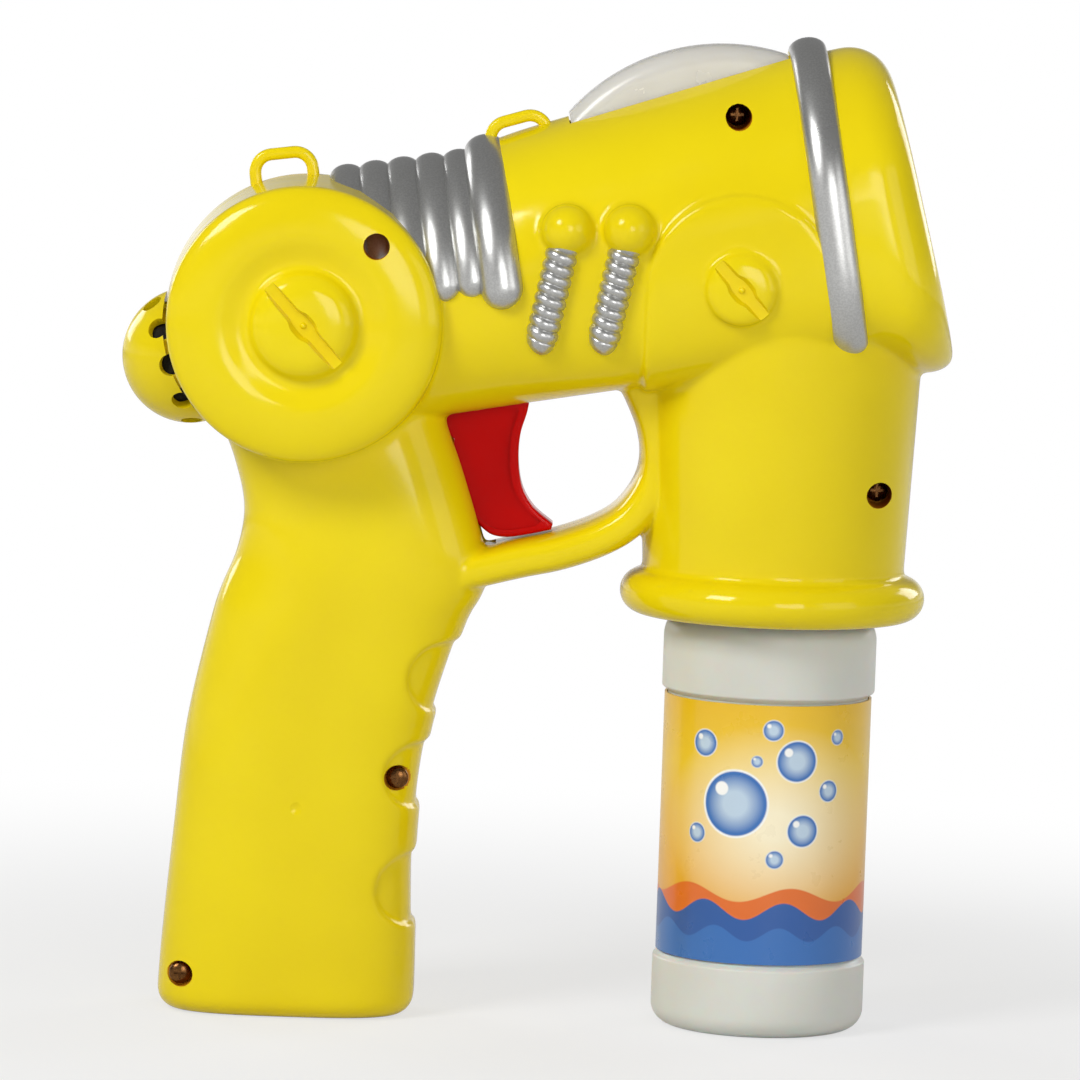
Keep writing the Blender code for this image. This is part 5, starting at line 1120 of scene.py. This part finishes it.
# A near-black lining behind the vent holes, as painted shade: it keeps the holes dark.
painted_vent_shade = mottled("dark_painted_vent_shade", SHADE_GRAIN, (14, 13, 12), (34, 32, 30), (900.0, 3.0), (0.8, 0.95), 0.35,
               IOR=1.4)
painted_vent_shade.bump(painted_vent_shade.noise(*SHADE_GRAIN), 0.0003, 0.8)
bowl = VENT_RADIUS - CAP_WALL - CLEARANCE
outside = arc((0.0, VENT_DISTANCE), bowl, ROOF_START, math.pi / 2, 20)
inside = arc((0.0, VENT_DISTANCE), bowl - LINER, math.pi / 2, ROOF_START, 20)
liner_foot = outside[0][1] - LINER_FOOT
foot_inside, foot_outside = (inside[-1][0] - CLEARANCE, liner_foot), (outside[0][0] - CLEARANCE, liner_foot)
profile = [foot_inside, foot_outside, *outside, *inside, foot_inside]
liner = piece("painted_vent_shade_liner", spun(profile, DRUM_CENTRE, VENT_OUT))
finished(smooth(liner), painted_vent_shade, "housing", "dark_plastic")
print("liner:", len(liner.data.polygons), "faces")

# %% Milky window
milky = mottled("milky_window", (45.0, 3.0), (220, 217, 209), (230, 228, 221), (150.0, 4.0), (0.18, 0.28),
                IOR=1.47, Subsurface_Weight=0.6, Subsurface_Scale=0.004,
                Subsurface_Radius=(1.0, 0.95, 0.8), Transmission_Weight=0.18)
milky.bump(milky.noise(300.0, 2.0), 0.00003)

DOME_CENTRE, DOME_RADIUS = Vector((0.0389, 0.0, 0.1679)), 0.0443
DOME_EDGE = 0.5 * DOME_HALF_WIDTH
DOME_FOOT_REACH = 0.0018
LAMP_STATION, LAMP_ROOM = 0.0785, 0.003

half = [(DOME_RADIUS, 0.0)]
half += arc((DOME_RADIUS - DOME_EDGE, DOME_HALF_WIDTH - DOME_EDGE), DOME_EDGE, 0.0, math.pi / 2, 12)
half.append((0.0, DOME_HALF_WIDTH))
profile = [(radius, -y) for radius, y in reversed(half)] + half[1:]
window = piece("milky_window", spun(profile, DOME_CENTRE, SIDEWAYS, 240))
start, end = DOME_STATIONS
shown = crest_outline(start + CLEARANCE, end - CLEARANCE, -DOME_SINK - DOME_FOOT / 2, DOME_RADIUS)
carved(window, plate(shown, -FAR, FAR), "INTERSECT")
foot = crest_outline(start - DOME_FOOT_REACH, end + DOME_FOOT_REACH, -DOME_SINK - DOME_FOOT, -DOME_SINK)
carved(window, plate(foot, -DOME_HALF_WIDTH + DOME_EDGE, DOME_HALF_WIDTH - DOME_EDGE), "UNION")
lamp_crest = barrel_point(LAMP_STATION, barrel_radius(LAMP_STATION))
carved(window, rod(LAMP_ROOM, barrel_point(LAMP_STATION), lamp_crest))
finished(smooth(window), milky, "housing", "milky_plastic", "light_dome")
print("window:", len(window.data.polygons), "faces")

# %% [markdown]
# ## Trigger
# A thin moulding that would bend if it were plain, so its edges are thickened to a rim on both sides, like
# the flanges of a beam. It turns on a steel pin through the hub at its top.

# %% Rimmed trigger
TRIGGER_BACK_X = -0.0172
TRIGGER_FRONT = ((-0.00094, 0.13794), (-0.0016, 0.1323), (-0.0030, 0.1270), (-0.0032, 0.1210),
                 (-0.0022, 0.1155), (0.0004, 0.1112), (0.0046, 0.1078))
TRIGGER_BASE = ((0.0043, 0.1066), (-0.0008, 0.1054), (-0.0050, 0.1047), (-0.0084, 0.1051),
                (-0.0110, 0.1069), (-0.0128, 0.1086), (-0.0150, 0.1091), (TRIGGER_BACK_X, 0.1090))
TRIGGER_TOP = ((TRIGGER_BACK_X, 0.1255), (-0.0200, 0.1280), (-0.0200, 0.1318), (-0.0140, 0.1345),
               (-0.0077, 0.1362))
HUB_RADIUS = 0.0034
RIM_WIDTH, FOOT_WIDTH, RIM_HEIGHT, RIM_EDGE = 0.0019, 0.0016, 0.0009, 0.0006
RECESS_TOP, RECESS_TIP = 0.1330, 0.0040

front = [(p.x, p.z) for p in smooth_path([(x, 0.0, z) for x, z in TRIGGER_FRONT])]
base = [(p.x, p.z) for p in smooth_path([(x, 0.0, z) for x, z in TRIGGER_BASE])]
shape = plate(front + base + list(TRIGGER_TOP), -TRIGGER_HALF_WIDTH, TRIGGER_HALF_WIDTH)
edges = [e for e in shape.edges if abs(e.verts[0].co.y - e.verts[1].co.y) < CLEARANCE]
bmesh.ops.bevel(shape, geom=edges, offset=RIM_EDGE, offset_type="OFFSET", affect="EDGES",
                segments=4, profile=0.5, material=-1)
trigger = piece("rimmed_trigger", tidy(shape))
pivot_near, pivot_far = (PIVOT_X, -TRIGGER_HALF_WIDTH, PIVOT_Z), (PIVOT_X, TRIGGER_HALF_WIDTH, PIVOT_Z)
carved(trigger, rod(HUB_RADIUS, pivot_near, pivot_far, 64), "UNION")
carved(trigger, rod(PIN_BORE, (PIVOT_X, -PIN_REACH, PIVOT_Z), (PIVOT_X, PIN_REACH, PIVOT_Z)))
recess = [(x - RIM_WIDTH, z) for x, z in front if z < RECESS_TOP and x < RECESS_TIP]
recess += [(x, z + FOOT_WIDTH) for x, z in base if x < recess[-1][0] - RIM_EDGE]
recess += [(-FAR, recess[-1][1]), (-FAR, RECESS_TOP)]
for side in (-1, 1):
    floor_y, out_y = side * (TRIGGER_HALF_WIDTH - RIM_HEIGHT), side * 2 * TRIGGER_HALF_WIDTH
    carved(trigger, plate(recess, min(floor_y, out_y), max(floor_y, out_y)))
finished(smooth(trigger), red, "trigger", "red_plastic", "trigger")
print("trigger:", len(trigger.data.polygons), "faces")

# %% [markdown]
# ## Tank
# Blown from polyethylene: a round bottle with a band at the foot and one at the shoulder, a flat in
# between that keeps the label from rubbing off, and a threaded neck. The plastic is thin enough to let some
# light through, which makes its shadows soft.

# %% Bottle with a threaded neck
BASE_HEIGHT, LABEL_TOP, BAND_TOP = 0.016, 0.0725, 0.0845
TANK_WALL, TANK_EDGE, TANK_FILLET = 0.0014, 0.0045, 0.0006
NECK_RADIUS, NECK_BOTTOM, NECK_TOP = 0.014, 0.0925, 0.105
LABEL_SEAT = 0.0216
THREAD_PITCH, THREAD_HEIGHT, THREAD_TURNS, THREAD_START = 0.003, 0.0005, 2.6, 0.0026
THREAD_END, THREAD_RUN_IN = 0.15, 8.0
TURN_STEPS = 64
TANK_FLOOR = 0.0028
FOOT_RING, FOOT_DISH, DISH_HEIGHT, DISH_MIDDLE = 0.0155, 0.0135, 0.0009, 0.0011
SEAT_CORNER = (0.0002, 0.0003)

polyethylene = mottled("blown_polyethylene", (30.0, 3.0), (206, 207, 198), (217, 218, 210), (220.0, 5.0),
                       (0.30, 0.42), IOR=1.5, Subsurface_Weight=0.35, Subsurface_Scale=0.003)
polyethylene.bump(polyethylene.noise(500.0, 2.0), 0.00003)

quarter = quarter_turns(16)
step = TANK_RADIUS - LABEL_SEAT
profile = [(0.0, DISH_MIDDLE), (FOOT_DISH, DISH_HEIGHT), (FOOT_RING, 0.0), (TANK_RADIUS - TANK_EDGE, 0.0)]
profile += [(TANK_RADIUS - TANK_EDGE * (1 - math.sin(t)), TANK_EDGE * (1 - math.cos(t)))
            for t in quarter[1:]]
profile += arc((TANK_RADIUS - TANK_FILLET, BASE_HEIGHT - step), TANK_FILLET, 0.0, math.pi / 3, 6)
profile += [(LABEL_SEAT + SEAT_CORNER[0], BASE_HEIGHT), (LABEL_SEAT, BASE_HEIGHT + SEAT_CORNER[1]),
            (LABEL_SEAT, LABEL_TOP)]
profile += arc((TANK_RADIUS - TANK_FILLET, LABEL_TOP + step), TANK_FILLET, -math.pi / 3, 0.0, 6)
profile += [(NECK_RADIUS + (TANK_RADIUS - NECK_RADIUS) * math.cos(t),
             BAND_TOP + (NECK_BOTTOM - BAND_TOP) * math.sin(t)) for t in quarter]
neck_inside, neck_low = NECK_RADIUS - TANK_WALL, NECK_BOTTOM - TANK_WALL
profile += [(NECK_RADIUS, NECK_TOP), (neck_inside, NECK_TOP), (neck_inside, neck_low)]
inside = LABEL_SEAT - TANK_WALL
profile += [(neck_inside + (inside - neck_inside) * math.sin(t),
             neck_low - (NECK_BOTTOM - BAND_TOP) * (1 - math.cos(t))) for t in quarter[1:]]
profile += [(inside, TANK_EDGE), (inside - TANK_EDGE / 2, TANK_FLOOR), (0.0, TANK_FLOOR)]
bottle = piece("blown_bottle", spun(profile, TANK_CENTRE, UPWARD, 160))
thread_path, thread_sizes = [], []
thread_steps = int(THREAD_TURNS * TURN_STEPS)
for i in range(thread_steps + 1):
    turn = math.tau * THREAD_TURNS * i / thread_steps
    rise = NECK_BOTTOM + THREAD_START + THREAD_PITCH * turn / math.tau
    out = Vector((math.cos(turn), math.sin(turn), 0.0))
    thread_path.append(TANK_CENTRE + out * NECK_RADIUS + UPWARD * rise)
    run_out = min(i, thread_steps - i) / thread_steps
    thread_sizes.append(THREAD_HEIGHT * min(1.0, THREAD_END + THREAD_RUN_IN * run_out))
carved(bottle, bridged(path_frames(thread_path, thread_sizes, thread_sizes), 12), "UNION")
finished(smooth(bottle), polyethylene, "tank", "white_plastic", "bottle")
print("bottle:", len(bottle.data.polygons), "faces")

# %% [markdown]
# ## Label
# A printed film round the tank. Its design is drawn by nodes on an unrolled plan in millimetres: a warm
# ground that pales in the middle, blue waves along the foot, and bubbles that rise from them. Each bubble
# is a ring of blue with a pale inside and a white glint, found from the distance to its middle.

# %% Film with its plan
LABEL_RADIUS, LABEL_THICKNESS = 0.0219, 0.0005
LABEL_Z = (0.0163, 0.0722)
PLAN_PER_METRE = 1000.0
FILM_GRID = (192, 8)

film = bmesh.new()
plan = film.loops.layers.uv.new("plan")
columns, rows = FILM_GRID
outer_radius = LABEL_RADIUS + LABEL_THICKNESS
section = [(LABEL_RADIUS, LABEL_Z[0])]
section += [(outer_radius, LABEL_Z[0] + (LABEL_Z[1] - LABEL_Z[0]) * i / rows) for i in range(rows + 1)]
section.append((LABEL_RADIUS, LABEL_Z[1]))
grid = []
for column in range(columns):
    turn = math.tau * column / columns
    out = Vector((math.sin(turn), math.cos(turn), 0.0))
    grid.append([film.verts.new(TANK_CENTRE + out * r + UPWARD * z) for r, z in section])
for column in range(columns):
    here, there = grid[column], grid[(column + 1) % columns]
    for i in range(len(section)):
        j = (i + 1) % len(section)
        face = film.faces.new((here[i], there[i], there[j], here[j]))
        for loop, share in zip(face.loops, (column, column + 1, column + 1, column)):
            way = (math.pi - math.tau * share / columns) * outer_radius
            loop[plan].uv = (way * PLAN_PER_METRE, (loop.vert.co.z - LABEL_Z[0]) * PLAN_PER_METRE)
bmesh.ops.recalc_face_normals(film, faces=film.faces)
label = piece("label_sleeve", film)
print("film:", len(label.data.polygons), "faces")

# %% Printed design
GROUND_STOPS = ((0.0, linear(226, 148, 40)), (0.35, linear(236, 178, 52)),
                (0.75, linear(240, 200, 42)), (1.0, linear(233, 186, 20)))
PLAN_HEIGHT = 56.0
GLOW_PLACE, GLOW_SQUASH, GLOW_REACH = (2.0, 30.0), 0.8, (3.0, 22.0)
RIM_SHARE, PALE_SHARES, GLINT_PLACE, GLINT_SHARE = 0.94, (0.35, 0.86), 0.42, 0.2
WAVES = ((15.0, 1.6, 23.45), (11.5, 1.9, 17.59), (6.5, 1.5, 14.07))
WAVE_BLUE, BUBBLE_BLUE, BUBBLE_PALE = linear(38, 88, 160), linear(52, 110, 182), linear(214, 232, 240)
INK_WHITE, INK_ORANGE, GLOW = linear(250, 250, 246), linear(226, 110, 34), linear(252, 244, 214)
BUBBLES = ((-7.0, 34.5, 7.4), (6.2, 44.0, 4.6), (8.0, 29.0, 3.6), (-14.6, 47.0, 3.0), (0.8, 50.6, 2.3),
           (14.0, 37.5, 2.4), (-16.0, 27.5, 2.2), (2.0, 22.8, 2.0), (16.0, 49.0, 1.7), (-2.5, 43.8, 1.3))
REPEAT = math.pi * (LABEL_RADIUS + LABEL_THICKNESS) * PLAN_PER_METRE

print_ink = Finish("label_print").set(IOR=1.5, Coat_Weight=0.35, Coat_Roughness=0.12)
plan_place = print_ink.tree.nodes.new("ShaderNodeUVMap")
plan_place.uv_map = "plan"
split = print_ink.tree.nodes.new("ShaderNodeSeparateXYZ")
print_ink.link(plan_place.outputs["UV"], split.inputs[0])
wrap = print_ink.tree.nodes.new("ShaderNodeMath")
wrap.operation = "WRAP"
print_ink.link(split.outputs["X"], wrap.inputs[0])
wrap.inputs[1].default_value = REPEAT / 2
wrap.inputs[2].default_value = -REPEAT / 2
u, v = wrap.outputs[0], split.outputs["Y"]


def distance_to(x, y, squash=1.0):
    """How far a place on the plan is from a point."""
    sideways = print_ink.math("MULTIPLY", print_ink.math("SUBTRACT", u, x), squash)
    upward = print_ink.math("SUBTRACT", v, y)
    return print_ink.math("SQRT", print_ink.math("ADD", print_ink.math("POWER", sideways, 2.0),
                                                 print_ink.math("POWER", upward, 2.0)))


def inside_of(distance, radius, soft=0.18):
    """1 within a radius and 0 beyond it, with a thin soft edge."""
    return print_ink.between(distance, 1.0, 0.0, radius - soft, radius + soft)


ground = print_ink.ramp(print_ink.between(v, 0.0, 1.0, 0.0, PLAN_HEIGHT), *GROUND_STOPS)
glow = print_ink.between(distance_to(*GLOW_PLACE, GLOW_SQUASH), 0.9, 0.0, *GLOW_REACH)
ink = print_ink.mix(glow, ground, GLOW)
for (height, swing, length), colour in zip(WAVES, (INK_ORANGE, WAVE_BLUE, BUBBLE_BLUE)):
    swell = print_ink.math("SINE", print_ink.math("MULTIPLY", u, math.tau / length))
    crest = print_ink.math("ADD", print_ink.math("MULTIPLY", swell, swing), height)
    under = print_ink.between(print_ink.math("SUBTRACT", v, crest), 1.0, 0.0, -0.15, 0.15)
    ink = print_ink.mix(under, ink, colour)
for x, y, radius in BUBBLES:
    distance = distance_to(x, y)
    ink = print_ink.mix(inside_of(distance, radius), ink, INK_WHITE)
    ink = print_ink.mix(inside_of(distance, RIM_SHARE * radius), ink, BUBBLE_BLUE)
    pale = print_ink.between(distance, 0.75, 0.0, PALE_SHARES[0] * radius, PALE_SHARES[1] * radius)
    ink = print_ink.mix(pale, ink, BUBBLE_PALE)
    glint = distance_to(x - GLINT_PLACE * radius, y + GLINT_PLACE * radius)
    ink = print_ink.mix(inside_of(glint, GLINT_SHARE * radius), ink, INK_WHITE)
print_ink.colour(ink)
print_ink.roughness(print_ink.between(print_ink.noise(160.0, 4.0), 0.26, 0.36))
print_ink.bump(print_ink.noise(90.0, 2.0), 0.00004, 0.2)
finished(smooth(label), print_ink, "tank", "label_film", "tank_label")
print("label with", len(BUBBLES), "bubbles, twice round")

# %% [markdown]
# ## Screws
# The halves are held by thread-forming screws with pan heads and cross recesses, bright from the box but
# seen at the bottom of deep holes, so their brass is painted darker as shade. A sixth one holds the battery
# door.

# %% Brass-plated screws
HEAD_RADIUS, HEAD_HEIGHT, HEAD_RIM, SHANK_RADIUS = 0.0024, 0.0016, 0.35, 0.0012
SCREW_BITE, DOOR_SCREW_LENGTH = 0.007, 0.00899
THREAD_STEP, THREAD_DEPTH = 0.0009, 0.0002
RECESS_HALF, RECESS_REACH, RECESS_DEPTH = 0.00028, 0.0014, 0.0009

# A dark brass: the colour is darkened as painted shade for screws deep in their holes.
painted_shade_plating = mottled("brass_painted_shade_plating", (900.0, 4.0), (92, 60, 34), (128, 88, 50), (2000.0, 3.0), (0.2, 0.34),
                  Metallic=1.0)


def screw(name, under_head, inward, length):
    """A pan-head screw from the underside of its head along a direction."""
    crown = [(HEAD_RADIUS * math.cos(t), -HEAD_HEIGHT * (HEAD_RIM + (1.0 - HEAD_RIM) * math.sin(t)))
             for t in quarter_turns(10)]
    profile = [(0.0, -HEAD_HEIGHT), *reversed(crown[:-1]), (HEAD_RADIUS, 0.0), (SHANK_RADIUS, 0.0)]
    way = THREAD_STEP
    while way < length - 2 * THREAD_STEP:
        profile += [(SHANK_RADIUS - THREAD_DEPTH, way), (SHANK_RADIUS, way + THREAD_STEP / 2)]
        way += THREAD_STEP
    profile += [(SHANK_RADIUS - THREAD_DEPTH, length - THREAD_STEP), (0.0, length)]
    made = piece(name, spun(profile, under_head, inward, 40))
    top = under_head - inward * HEAD_HEIGHT
    for across in ((RECESS_REACH, RECESS_HALF), (RECESS_HALF, RECESS_REACH)):
        reach = Vector((across[0], 0.0, across[1])) + SIDEWAYS * RECESS_DEPTH
        carved(made, slab(top - reach, top + reach))
    return smooth(made)


for number, (x, z, seat) in enumerate(SCREW_POINTS, 1):
    made = screw(f"pan_screw_{number}", Vector((x, -seat - CLEARANCE, z)), SIDEWAYS, seat + SCREW_BITE)
    finished(made, painted_shade_plating, "housing", "brass", f"shell_screw_{number}")
door_seat = Vector((DOOR_SCREW[0], DOOR_SEAT_Y + CLEARANCE, DOOR_SCREW[1]))
made = screw("door_pan_screw", door_seat, -SIDEWAYS, DOOR_SCREW_LENGTH)
finished(made, painted_shade_plating, "door", "brass", "door_screw")
print("screws:", len(SCREW_POINTS) + 1)

# %% [markdown]
# ## Behind the muzzle
# Solution runs over a ring in a wall across the barrel, and the blower pushes bubbles off it. Fine grooves
# in the lip hold the liquid by capillary action. What drips falls on a funnel over the tank socket.

# %% Bubble ring
NOZZLE_STATION, NOZZLE_RADIUS, NOZZLE_LENGTH, NOZZLE_WALL = 0.105, 0.013, 0.0115, 0.0015
NOZZLE_MARGIN = math.cos(math.pi / 16)
LIP_GROOVES, LIP_GROOVE_DEPTH = 8, 0.0003
CORNER = 0.001
WINDOW_ROOM, WINDOW_MARGIN, WINDOW_DEPTH = 0.012, 0.0012, 0.0059

outer = (barrel_radius(NOZZLE_STATION) - WALL) * NOZZLE_MARGIN - CLEARANCE
lip_outer, lip_middle = NOZZLE_RADIUS + NOZZLE_WALL, NOZZLE_RADIUS + NOZZLE_WALL / 2
lip_start = NOZZLE_WALL + CORNER
profile = [(NOZZLE_RADIUS, 0.0), (outer, 0.0), (outer, NOZZLE_WALL), (lip_outer + CORNER, NOZZLE_WALL),
           (lip_outer, lip_start)]
pitch = (NOZZLE_LENGTH - NOZZLE_WALL - lip_start) / LIP_GROOVES
for i in range(LIP_GROOVES):
    start, deep = lip_start + i * pitch, lip_outer - LIP_GROOVE_DEPTH
    profile += [(lip_outer, start + 0.4 * pitch), (deep, start + 0.6 * pitch),
                (deep, start + 0.8 * pitch), (lip_outer, start + pitch)]
profile += arc((lip_middle, NOZZLE_LENGTH - NOZZLE_WALL / 2), NOZZLE_WALL / 2, 0.0, math.pi, 10)
profile.append((NOZZLE_RADIUS, 0.0))
nozzle = piece("grooved_ring", spun(profile, barrel_point(NOZZLE_STATION), FORWARD, 128))
room = crest_outline(NOZZLE_STATION - WINDOW_ROOM, NOZZLE_STATION + WINDOW_ROOM, -WINDOW_DEPTH, DOME_RADIUS)
room_half = DOME_HALF_WIDTH + WINDOW_MARGIN
carved(nozzle, plate(room, -room_half, room_half))
finished(smooth(nozzle), yellow, "housing", "yellow_plastic", "bubble_nozzle")
print("ring with", LIP_GROOVES, "grooves")

# %% Drip funnel and socket
TRAY_RADIUS, TRAY_Z, TRAY_FALL, TRAY_THICKNESS, TRAY_LIP = 0.0266, 0.128, 0.0055, 0.0012, 0.0006
DRAIN_RADIUS = 0.007
SOCKET_RADIUS, SOCKET_TOP, SOCKET_WALL, CUP_RADIUS, DIP_HOLE = 0.0258, 0.1085, 0.0019, 0.0146, 0.0024
CUP_FOOT, CUP_BEAD = 0.0937, 0.0004

drain_z = TRAY_Z - TRAY_FALL
profile = [(DRAIN_RADIUS, drain_z), (TRAY_RADIUS, TRAY_Z), (TRAY_RADIUS, TRAY_Z + TRAY_THICKNESS),
           (DRAIN_RADIUS + TRAY_LIP, drain_z + TRAY_THICKNESS),
           (DRAIN_RADIUS, drain_z + 0.6 * TRAY_THICKNESS), (DRAIN_RADIUS, drain_z)]
tray = piece("drip_funnel", spun(profile, TANK_CENTRE, UPWARD, 128))
finished(smooth(tray), yellow, "housing", "yellow_plastic", "drip_tray")
disc, cup_outer = SOCKET_TOP - SOCKET_WALL, CUP_RADIUS + SOCKET_WALL
profile = [(DIP_HOLE, disc), (CUP_RADIUS, disc), (CUP_RADIUS, CUP_FOOT)]
profile += arc((cup_outer - CUP_BEAD, CUP_FOOT + CUP_BEAD), CUP_BEAD, -math.pi / 2, 0.0, 5)
profile += [(cup_outer, disc - CORNER), (cup_outer + CORNER, disc), (SOCKET_RADIUS, disc),
            (SOCKET_RADIUS, SOCKET_TOP), (DIP_HOLE, SOCKET_TOP), (DIP_HOLE, disc)]
socket = piece("threaded_socket", spun(profile, TANK_CENTRE, UPWARD, 128))
for side in (-1, 1):
    x = TANK_X + side * DRAIN_RADIUS
    carved(socket, rod(SHANK_RADIUS, (x, 0.0, CUP_FOOT), (x, 0.0, TRAY_Z)))
finished(smooth(socket), nylon, "housing", "white_plastic", "tank_socket")
print("socket:", len(socket.data.polygons), "faces")

# %% [markdown]
# ## Cells
# Three cells lie in the grip, each the other way up from the last. A drawn steel can is wrapped in shrink
# film: one colour for most of its length, a copper tone near the end with the nub.

# %% Wrapped cells
CELL_COUNT, CELL_RADIUS, CELL_LENGTH = 3, 0.0071, 0.0492
NUB_RADIUS, NUB_HEIGHT, CAN_EDGE = 0.0027, 0.0010, 0.0006
FOOT_DENT, DENT_RADIUS, END_RADIUS = 0.0002, 0.0050, 0.0053
FILM_END, SUNK_RADIUS, SUNK = 0.0052, 0.0049, 0.0003
CAN_GREY, FILM_DARK, FILM_COPPER = linear(168, 170, 170), linear(34, 36, 40), linear(190, 118, 62)
COPPER_END, NUB_GREY = linear(184, 112, 58), linear(178, 180, 180)
BARE, COVERED, SHEEN = (1, 1, 1, 1), (0, 0, 0, 1), (0.8, 0.8, 0.8, 1)


def wrapped(name, foot, axis):
    """Shrink film on a steel can, with the colours set out along the cell's own axis."""
    finish = Finish(name).set(IOR=1.5, Coat_Weight=0.5, Coat_Roughness=0.1)
    split = finish.tree.nodes.new("ShaderNodeSeparateXYZ")
    finish.link(finish.place, split.inputs[0])
    way = finish.math("MULTIPLY", finish.math("SUBTRACT", split.outputs["Z"], foot.z), axis.z)
    share = finish.between(way, 0.0, 1.0, 0.0, CELL_LENGTH + NUB_HEIGHT)
    finish.colour(finish.ramp(share, (0.0, CAN_GREY), (0.012, FILM_DARK), (0.70, FILM_DARK),
                              (0.71, FILM_COPPER), (0.965, COPPER_END), (0.975, NUB_GREY)))
    finish.roughness(finish.between(finish.noise(260.0, 4.0), 0.2, 0.34))
    metal = finish.ramp(share, (0.0, BARE), (0.012, COVERED), (0.70, COVERED), (0.71, SHEEN), (0.98, BARE))
    finish.link(metal, finish.shader.inputs["Metallic"])
    finish.bump(finish.noise(700.0, 3.0), 0.00003)
    return finish


cell_end, cell_top = CELL_LENGTH - SUNK, CELL_LENGTH + NUB_HEIGHT
can = [(0.0, FOOT_DENT), (DENT_RADIUS, FOOT_DENT), (END_RADIUS, 0.0)]
can += arc((CELL_RADIUS - CAN_EDGE, CAN_EDGE), CAN_EDGE, -math.pi / 2, 0.0, 6)
can += arc((CELL_RADIUS - CAN_EDGE, CELL_LENGTH - CAN_EDGE), CAN_EDGE, 0.0, math.pi / 2, 6)
can += [(FILM_END, CELL_LENGTH), (SUNK_RADIUS, cell_end), (NUB_RADIUS + SUNK, cell_end)]
can += [(NUB_RADIUS, CELL_LENGTH), (NUB_RADIUS, CELL_LENGTH + 0.7 * NUB_HEIGHT)]
can += [(NUB_RADIUS - SUNK, cell_top), (0.0, cell_top)]
for number in range(1, CELL_COUNT + 1):
    node, flipped = nodes[f"cell_{number}"], number % 2 == 0
    low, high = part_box(node.name)
    axis = -UPWARD if flipped else UPWARD
    foot = Vector(((low[0] + high[0]) / 2, (low[1] + high[1]) / 2, high[2] if flipped else low[2]))
    cell = piece(f"wrapped_cell_{number}", spun(can, foot, axis))
    film_finish = wrapped(f"cell_film_{number}", foot, axis)
    finished(smooth(cell), film_finish, "housing", "dark_plastic", node.name)
print("cells:", CELL_COUNT)

# %% [markdown]
# ## Works inside the housing
# The blower, gears, pump and switch keep the frame's own shapes. They show only through the vents, the
# muzzle and the open battery door, but each still gets the material it is really made of.

# %% Finishes for the works
steel = mottled("plated_steel", (600.0, 4.0), (176, 178, 180), (202, 203, 204), (1500.0, 3.0), (0.22, 0.38),
                Metallic=1.0)
board = mottled("circuit_board", (900.0, 2.0), (18, 84, 44), (28, 110, 58), (300.0, 3.0), (0.3, 0.45), 0.35,
                IOR=1.5)
silicone = mottled("clear_silicone", (120.0, 3.0), (202, 204, 200), (216, 218, 214), (400.0, 3.0),
                   (0.35, 0.5), IOR=1.41, Subsurface_Weight=0.5, Subsurface_Scale=0.002)
WORKS = (
    (steel, ("motor", "trigger_pin", "idler_axle", "pump_axle", "top_contact", "bottom_contact")),
    (painted_shade_plating, ("motor_pinion",)),
    (nylon, ("blower_wheel", "idler_gear", "pump_gear", "pump_rotor", "dip_tube")),
    (black, ("chassis_plate", "motor_bracket", "switch_body")),
    (red, ("switch_plunger",)),
    (milky, ("led",)),
    (silicone, ("pump_tube", "seal_ring")),
    (board, ("light_board",)),
)
for finish, names in WORKS:
    for name in names:
        nodes[name].data.materials.clear()
        nodes[name].data.materials.append(finish.material)
print("works:", sum(len(names) for _, names in WORKS), "nodes")

# %% [markdown]
# ## Return spring
# The spring behind the trigger is wound from thin wire. It stands on the rib, and when the trigger is
# pulled it has to shorten; here it is wound at one length and rides on the housing.

# %% Wound spring
SPRING_TURNS, SPRING_WIRE, SPRING_KEEP = 6, 0.0004, 0.58
TURN_POINTS = 24

spring_low, spring_high = (Vector(corner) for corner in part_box("trigger_spring"))
coil_radius = (spring_high.z - spring_low.z) / 2 - SPRING_WIRE
spring_z = (spring_high.z + spring_low.z) / 2
wire_start, wire_end = spring_low.x + SPRING_WIRE, spring_high.x - SPRING_WIRE
wire = []
for i in range(SPRING_TURNS * TURN_POINTS + 1):
    turn = math.tau * i / TURN_POINTS
    along = wire_start + (wire_end - wire_start) * i / (SPRING_TURNS * TURN_POINTS)
    wire.append(Vector((along, coil_radius * math.cos(turn), spring_z + coil_radius * math.sin(turn))))
spring = piece("wound_spring", bridged(path_frames(wire, SPRING_WIRE, SPRING_WIRE), 10))
finished(smooth(spring), steel, "housing", "steel", "trigger_spring")
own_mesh(spring)
print("spring:", len(spring.data.polygons), "faces")
